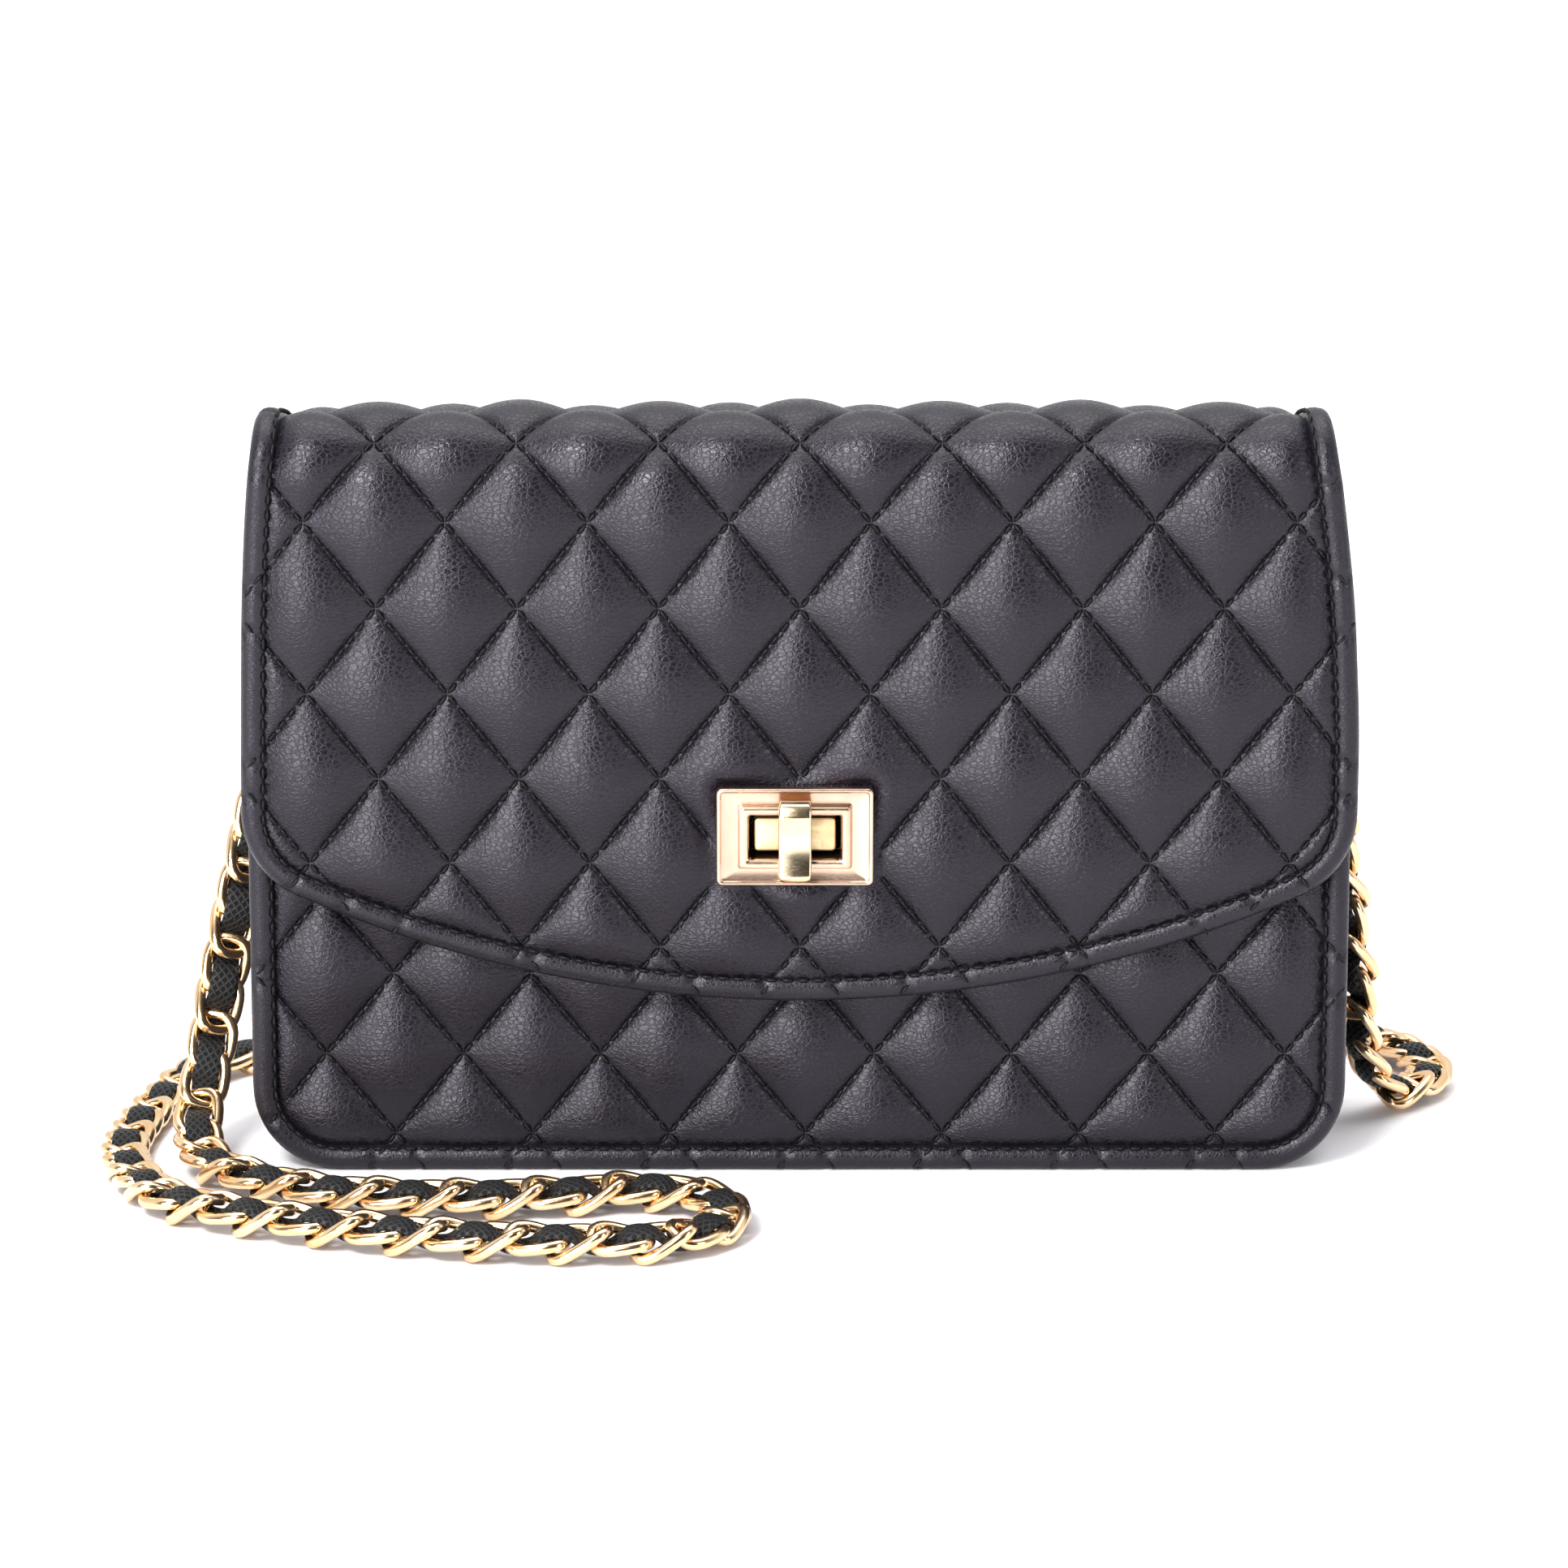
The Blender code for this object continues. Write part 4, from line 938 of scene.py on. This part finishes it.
KNOB_HALF = (0.003, 0.00715)         # half width and half height
KNOB_BACK, KNOB_BEVEL = -0.0352, 0.00045
BEVEL_TURNS = (0.5, 1.0, 1.45)
knob = Build()
rows = []
for v in np.linspace(-1, 1, 41):
    half = KNOB_HALF[0] - 0.00035 * abs(v) ** 10
    face_y = -0.0391 + 0.0015 * (1 - v * v) ** 1.1 + 0.0007 * abs(v) ** 16 + 0.0052 * max(v - 0.64, 0)
    shoulder = face_y + KNOB_BEVEL
    bend = [(half - KNOB_BEVEL * (1 - math.cos(t)), shoulder - KNOB_BEVEL * math.sin(t)) for t in BEVEL_TURNS]
    dish = [(half * k, face_y - 0.00018 * (1 - (k / 0.82) ** 2)) for k in (-0.7, -0.35, 0.0, 0.35, 0.7)]
    loop = ([(-half, KNOB_BACK), (-half, shoulder)] + [(-x, y) for x, y in bend] + dish + bend[::-1]
            + [(half, shoulder), (half, KNOB_BACK)])
    rows.append([(LOCK[0] + x, y, LOCK[1] + v * KNOB_HALF[1]) for x, y in loop])
knob.grid(np.array(rows), wrap_columns=True, caps=True)
knob_piece = knob.make("lock_turn_bar", [KNOB_GOLD])
knob_piece.data.set_sharp_from_angle(angle=math.radians(50))
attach(knob_piece, "lock_knob")
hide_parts("turn_knob")

# ---- sides and bottom ----
SIDE_X = 0.1003                # the sides' outer faces
SIDE_HALF = 0.0214             # half the depth of the sides and of the bottom
LEATHER_THICK = 0.0015
SIDE_LOW = 0.0163
TUCK = 0.009


def tuck_at(y, z):
    """How far a side folds inward."""
    rise = ease(z, 0.016, 0.06)
    off = np.abs(y)
    slope = 0.5 * np.clip((off - 0.006) / 0.015, 0, 1) + 0.5 * ease(off, 0.006, 0.021)
    return TUCK * rise * (1.0 - slope)


def side_top(y):
    return 0.12285 - 0.0083 * y / 0.042


for side, name in ((-1, "left"), (1, "right")):
    strip = Build()
    ys = np.linspace(-SIDE_HALF, SIDE_HALF, 37)
    Y, T = np.meshgrid(ys, np.linspace(0, 1, 70))
    Z = SIDE_LOW + (side_top(Y) - SIDE_LOW) * T
    wrinkle = 0.0003 * waves(Y / 0.006, Z / 0.01, 7.0 + side) * np.clip((Z - 0.03) / 0.03, 0, 1)
    narrow = 0.0026 * ease(Z, 0.104, 0.124) * np.clip((np.abs(Y) - 0.006) / 0.008, 0, 1)
    Xo = SIDE_X - tuck_at(Y, Z) + np.where(np.abs(Y) < 0.0055, 0, 1) * wrinkle - narrow
    outer = np.stack([side * Xo, Y, Z], -1)
    inside_face = np.stack([side * (Xo - LEATHER_THICK), Y, Z], -1)
    rim = (outer[-1] + inside_face[-1]) / 2
    hem = [rim + [side * LEATHER_THICK / 2 * math.cos(turn), 0.0, 0.0006 * math.sin(turn)]
           for turn in np.linspace(0, math.pi, 7)[1:-1]]
    grid = np.concatenate([outer, np.array(hem), inside_face[::-1]])
    strip.grid(grid, cloth=flat_cloth(ys, np.arange(len(grid))[:, None] * 0.0015), flip=side < 0, wear=0.45)
    made = strip.make("side_gusset_" + name, [SIDE], body="bag")
    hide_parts("gusset_" + name)

bottom = Build()
corner_path = arc((SIDE_X - 0.0148, 0.0148), 0.0148, 6, -90, 16)
under = np.vstack([corner_path, resample([[0.0855, 0.0], [-0.0855, 0.0]], 0.003)[1:-1],
                   mirrored(corner_path)[::-1]])
inward = left_of(heading_of(under))
inward = inward * np.sign((inward * (np.array([0.0, 0.06]) - under)).sum(-1, keepdims=True))
ys = np.linspace(-SIDE_HALF, SIDE_HALF, 15)
reach = np.arange(len(under))[:, None] * 0.002
for depth, turned in ((0.0, False), (LEATHER_THICK, True)):
    base = under + inward * depth
    layer = np.stack(np.broadcast_arrays(base[:, :1], ys, base[:, 1:]), -1)
    bottom.grid(layer, flip=turned, cloth=flat_cloth(reach, ys))
bottom_piece = bottom.make("bottom_strip", [SIDE], body="bag")
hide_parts("bottom_panel")


# ---- lining and pocket ----
LINING_CORNER = 0.0133


def lining_ring(z_share, inset, floor):
    """One level of the cloth lining."""
    y_face = 0.0206 - inset
    ys = np.linspace(-y_face, y_face, 25)
    z = floor + (side_top(ys) - 0.001 - floor) * z_share
    lift = np.clip(LINING_CORNER - (z - floor), 0, None)
    pull = LINING_CORNER - np.sqrt(np.maximum(LINING_CORNER ** 2 - lift ** 2, 0))
    x = SIDE_X - LEATHER_THICK - 0.0014 - inset - tuck_at(ys, z) - pull
    right = np.stack([x, ys, z], -1)
    sweep = np.linspace(1, -1, 41)[1:-1]
    back = np.stack([sweep * x[-1], np.full(39, y_face), np.full(39, z[-1])], -1)
    left = right[::-1] * np.array([-1.0, 1.0, 1.0])
    front = np.stack([-sweep * x[0], np.full(39, -y_face), np.full(39, z[0])], -1)
    ring = np.vstack([right, back, left, front])
    depth = 0.00025 * (0.1 + 0.9 * math.sin(math.pi * z_share))
    ring[:, 1] -= np.sign(ring[:, 1]) * np.abs(depth * waves(ring[:, 0] / 0.014, ring[:, 2] / 0.012, 9.0))
    return ring


lining = Build()
shares = np.concatenate([[0.0, 0.008, 0.02, 0.04, 0.07, 0.11], np.linspace(0.16, 1.0, 30)])
outer_rings = np.array([lining_ring(t, 0.0, 0.0036) for t in shares])
inner_rings = np.array([lining_ring(t, 0.0009, 0.0046) for t in shares])
lip = (outer_rings[-1] + inner_rings[-1]) / 2 + np.array([0.0, 0.0, 0.0006])
rings = np.concatenate([outer_rings, lip[None], inner_rings[::-1]])
cloth = np.stack(np.broadcast_arrays(reach_of(rings[20]), rings[..., 2], rings[..., 1]), -1)
lining.grid(rings, wrap_columns=True, caps=True, cloth=cloth)
lining_piece = lining.make("cloth_lining", [CLOTH], body="bag")
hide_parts("lining")

POCKET_HALF, POCKET_LOW, POCKET_HIGH = 0.058, 0.046, 0.104
pocket = Build()
X, Z = np.meshgrid(np.linspace(-POCKET_HALF, POCKET_HALF, 59), np.linspace(POCKET_LOW, POCKET_HIGH, 30))
belly = np.sin(math.pi * (X + POCKET_HALF) / (2 * POCKET_HALF)) ** 0.5
belly = belly * np.clip((Z - POCKET_LOW) / 0.05, 0, 1)
Yf = 0.019 - 0.0046 * belly - 0.0003 + 0.0002 * waves(X / 0.012, Z / 0.01, 11.0)
front_sheet = np.stack([X, Yf, Z], -1)
back_sheet = front_sheet + np.array([0.0, 0.0006, 0.0])
hem_row = (front_sheet[-1] + back_sheet[-1]) / 2 + np.array([0.0, 0.0, 0.0005])
sheet = np.concatenate([front_sheet, hem_row[None], back_sheet[::-1]])
pocket.grid(sheet, cloth=np.stack([sheet[..., 0], sheet[..., 2], sheet[..., 1]], -1))
pocket_piece = pocket.make("inner_slip_pocket", [CLOTH], body="bag")
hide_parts("slip_pocket")

# ---- D-rings and their tabs ----
RING_X, RING_Z = 0.0975, 0.122
RING_HALF, RING_DEEP, RING_BEND, RING_WIRE = 0.0062, 0.012, 0.0016, 0.001
TAB_RADIUS = 0.0033
TAB_FOOT = [(0.093, 0.0016), (0.0929, 0.0018), (0.0916, 0.0018), (0.0914, -0.002), (0.0914, -0.012),
            (0.0921, -0.0125), (0.0929, -0.012), (0.0931, -0.004), (0.0938, -0.0022)]
TAB_ENDS = [(0.0044, 0.0001), (0.0045, 0.0004)]      # (y, how much smaller the section is there)
for side, name in ((-1, "left"), (1, "right")):
    tab = Build()
    profile = np.vstack([arc((RING_X, RING_Z), TAB_RADIUS, 205, 515, 28),
                         np.array(TAB_FOOT) + [0.0, RING_Z]])
    outward = unit(profile - profile.mean(axis=0))
    tab_rows = [(-y, less) for y, less in TAB_ENDS[::-1]]
    tab_rows += [(y, 0.0) for y in np.linspace(-0.004, 0.004, 9)] + TAB_ENDS
    rows = []
    for y, less in tab_rows:
        ring = profile - outward * less
        rows.append(np.stack([side * ring[:, 0], np.full(len(ring), y), ring[:, 1]], -1))
    tab_y = np.array([y for y, _ in tab_rows])[:, None]
    tab.grid(rows, wrap_columns=True, caps=True, flip=side > 0,
             cloth=flat_cloth(np.arange(len(profile)) * 0.0009, tab_y))
    for k in (-1, 1):
        for z in RING_Z - 0.0045 - 0.0021 * np.arange(4):
            x = 0.0931 + np.array([-0.0003, 0.0001, 0.00018, 0.0001, -0.0003])
            centres = np.stack([side * x, np.full(5, k * 0.0034), z + np.linspace(-0.00075, 0.00075, 5)], -1)
            thread(tab, centres, np.broadcast_to([side * 1.0, 0.0, 0.0], centres.shape), 0.00024)
    tab_piece = tab.make("ring_tab_" + name, [EDGE, THREAD], body="bag")
    tab_piece.data.set_sharp_from_angle(angle=math.radians(60))
    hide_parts("strap_tab_" + name)

    hoop = Build()
    bar = [(y, 0.0) for y in np.linspace(-0.0044, 0.0044, 12)]
    bend = [(RING_HALF - RING_BEND + RING_BEND * math.sin(t), -RING_BEND + RING_BEND * math.cos(t))
            for t in (0.4, 0.8, 1.2)]
    bow = [(RING_HALF * math.cos(t), -RING_BEND - (RING_DEEP - RING_BEND) * math.sin(t))
           for t in np.linspace(0, math.pi, 33)]
    wire = np.array(bar + bend + bow + [(-y, z) for y, z in reversed(bend)])
    loop = np.stack([np.full(len(wire), side * RING_X), wire[:, 0], wire[:, 1] + RING_Z], -1)
    hoop.grid(wire_ring(loop, np.array([1.0, 0.0, 0.0]), RING_WIRE, 12), wrap_rows=True, wrap_columns=True)
    ring_piece = hoop.make("d_ring_wire_" + name, [CHAIN_GOLD], body="ring_" + name)
    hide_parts("d_ring_" + name)

# ---- CAD pieces that stay, with better materials ----
board, board_tree, board_shader = new_material("stiff_board")
board_grain = noise(board_tree, node(board_tree, "ShaderNodeTexCoord", out=3), 900.0, 3.0)
set_inputs(board_tree, board_shader, {
    "Base Color": mix_colour(board_tree, board_grain, (0.16, 0.14, 0.12), (0.3, 0.27, 0.24)),
    "Roughness": 0.85,
})
for name, mat in (("lock_back_frame", BASE_GOLD), ("lock_washer", BASE_GOLD), ("knob_spindle", BASE_GOLD),
                  ("base_board", board)):
    slots = frame["nodes"][name].data.materials
    slots.clear()
    slots.append(mat)

# ---- floor, lights and tone ----
FLOOR_HALF = 14
floor_corners = np.array([(-1, -1, 0), (1, -1, 0), (1, 1, 0), (-1, 1, 0)]) * FLOOR_HALF
floor_mesh = new_mesh("floor", floor_corners, [(0, 1, 2, 3)])
floor = bpy.data.objects.new("floor", floor_mesh)
bpy.context.scene.collection.objects.link(floor)
pale, pale_tree, pale_shader = new_material("pale_floor")
floor_at = node(pale_tree, "ShaderNodeTexCoord", out="Object")
floor_reach = node(pale_tree, "ShaderNodeVectorMath", {0: floor_at}, out="Value", operation="LENGTH")
set_inputs(pale_tree, pale_shader, {
    "Base Color": (0.86, 0.85, 0.88, 1.0),
    "Roughness": 0.75,
    "Specular IOR Level": 0.15,
    "Emission Color": (1.0, 1.0, 1.0, 1.0),
    "Emission Strength": spread(pale_tree, floor_reach, 0.35, 1.6, 0.0, 0.5),
})
floor_mesh.materials.append(pale)

world = bpy.data.worlds.new("studio")
bpy.context.scene.world = world
world.use_nodes = True
sky = world.node_tree
across, away, up = split_axes(sky, node(sky, "ShaderNodeTexCoord", out="Generated"))
behind = spread(sky, away, -0.3, 0.05, 0.02, 1.05)
above = spread(sky, up, 0.55, 1.0, 0.0, 0.35)
aside = spread(sky, maths(sky, "ABSOLUTE", across), 0.75, 1.0, 0.0, 0.25)
set_inputs(sky, sky.nodes["Background"], {
    "Strength": maths(sky, "ADD", maths(sky, "ADD", behind, above), aside),
    "Color": (0.985, 0.985, 1.0, 1.0),
})


def area_light(name, place, target, size, power):
    data = bpy.data.lights.new(name, "AREA")
    data.shape = "RECTANGLE"
    data.size, data.size_y = size
    data.energy = power
    lamp = bpy.data.objects.new(name, data)
    lamp.location = place
    lamp.rotation_euler = (Vector(target) - Vector(place)).to_track_quat("-Z", "Y").to_euler()
    bpy.context.scene.collection.objects.link(lamp)


area_light("key_left", (-0.92, -1.00, 0.4), (0.0, -0.02, 0.07), (0.5, 0.6), 9.0)
area_light("low_left", (-0.48, -1.1, 0.24), (0.0, -0.02, 0.08), (0.34, 0.46), 8.8)
area_light("fill_right", (1.00, -0.85, 0.45), (0.0, -0.02, 0.07), (0.35, 0.6), 4.0)
area_light("upper_left", (-0.46, -1.00, 1.00), (0.0, 0.0, 0.08), (0.42, 0.34), 24.0)
area_light("top", (0.0, 0.1, 1.25), (0.0, 0.0, 0.0), (1.4, 1.0), 14.0)

scene = bpy.context.scene
scene.view_settings.view_transform = "Standard"
scene.view_settings.look = "None"
scene.view_settings.exposure = 0.0
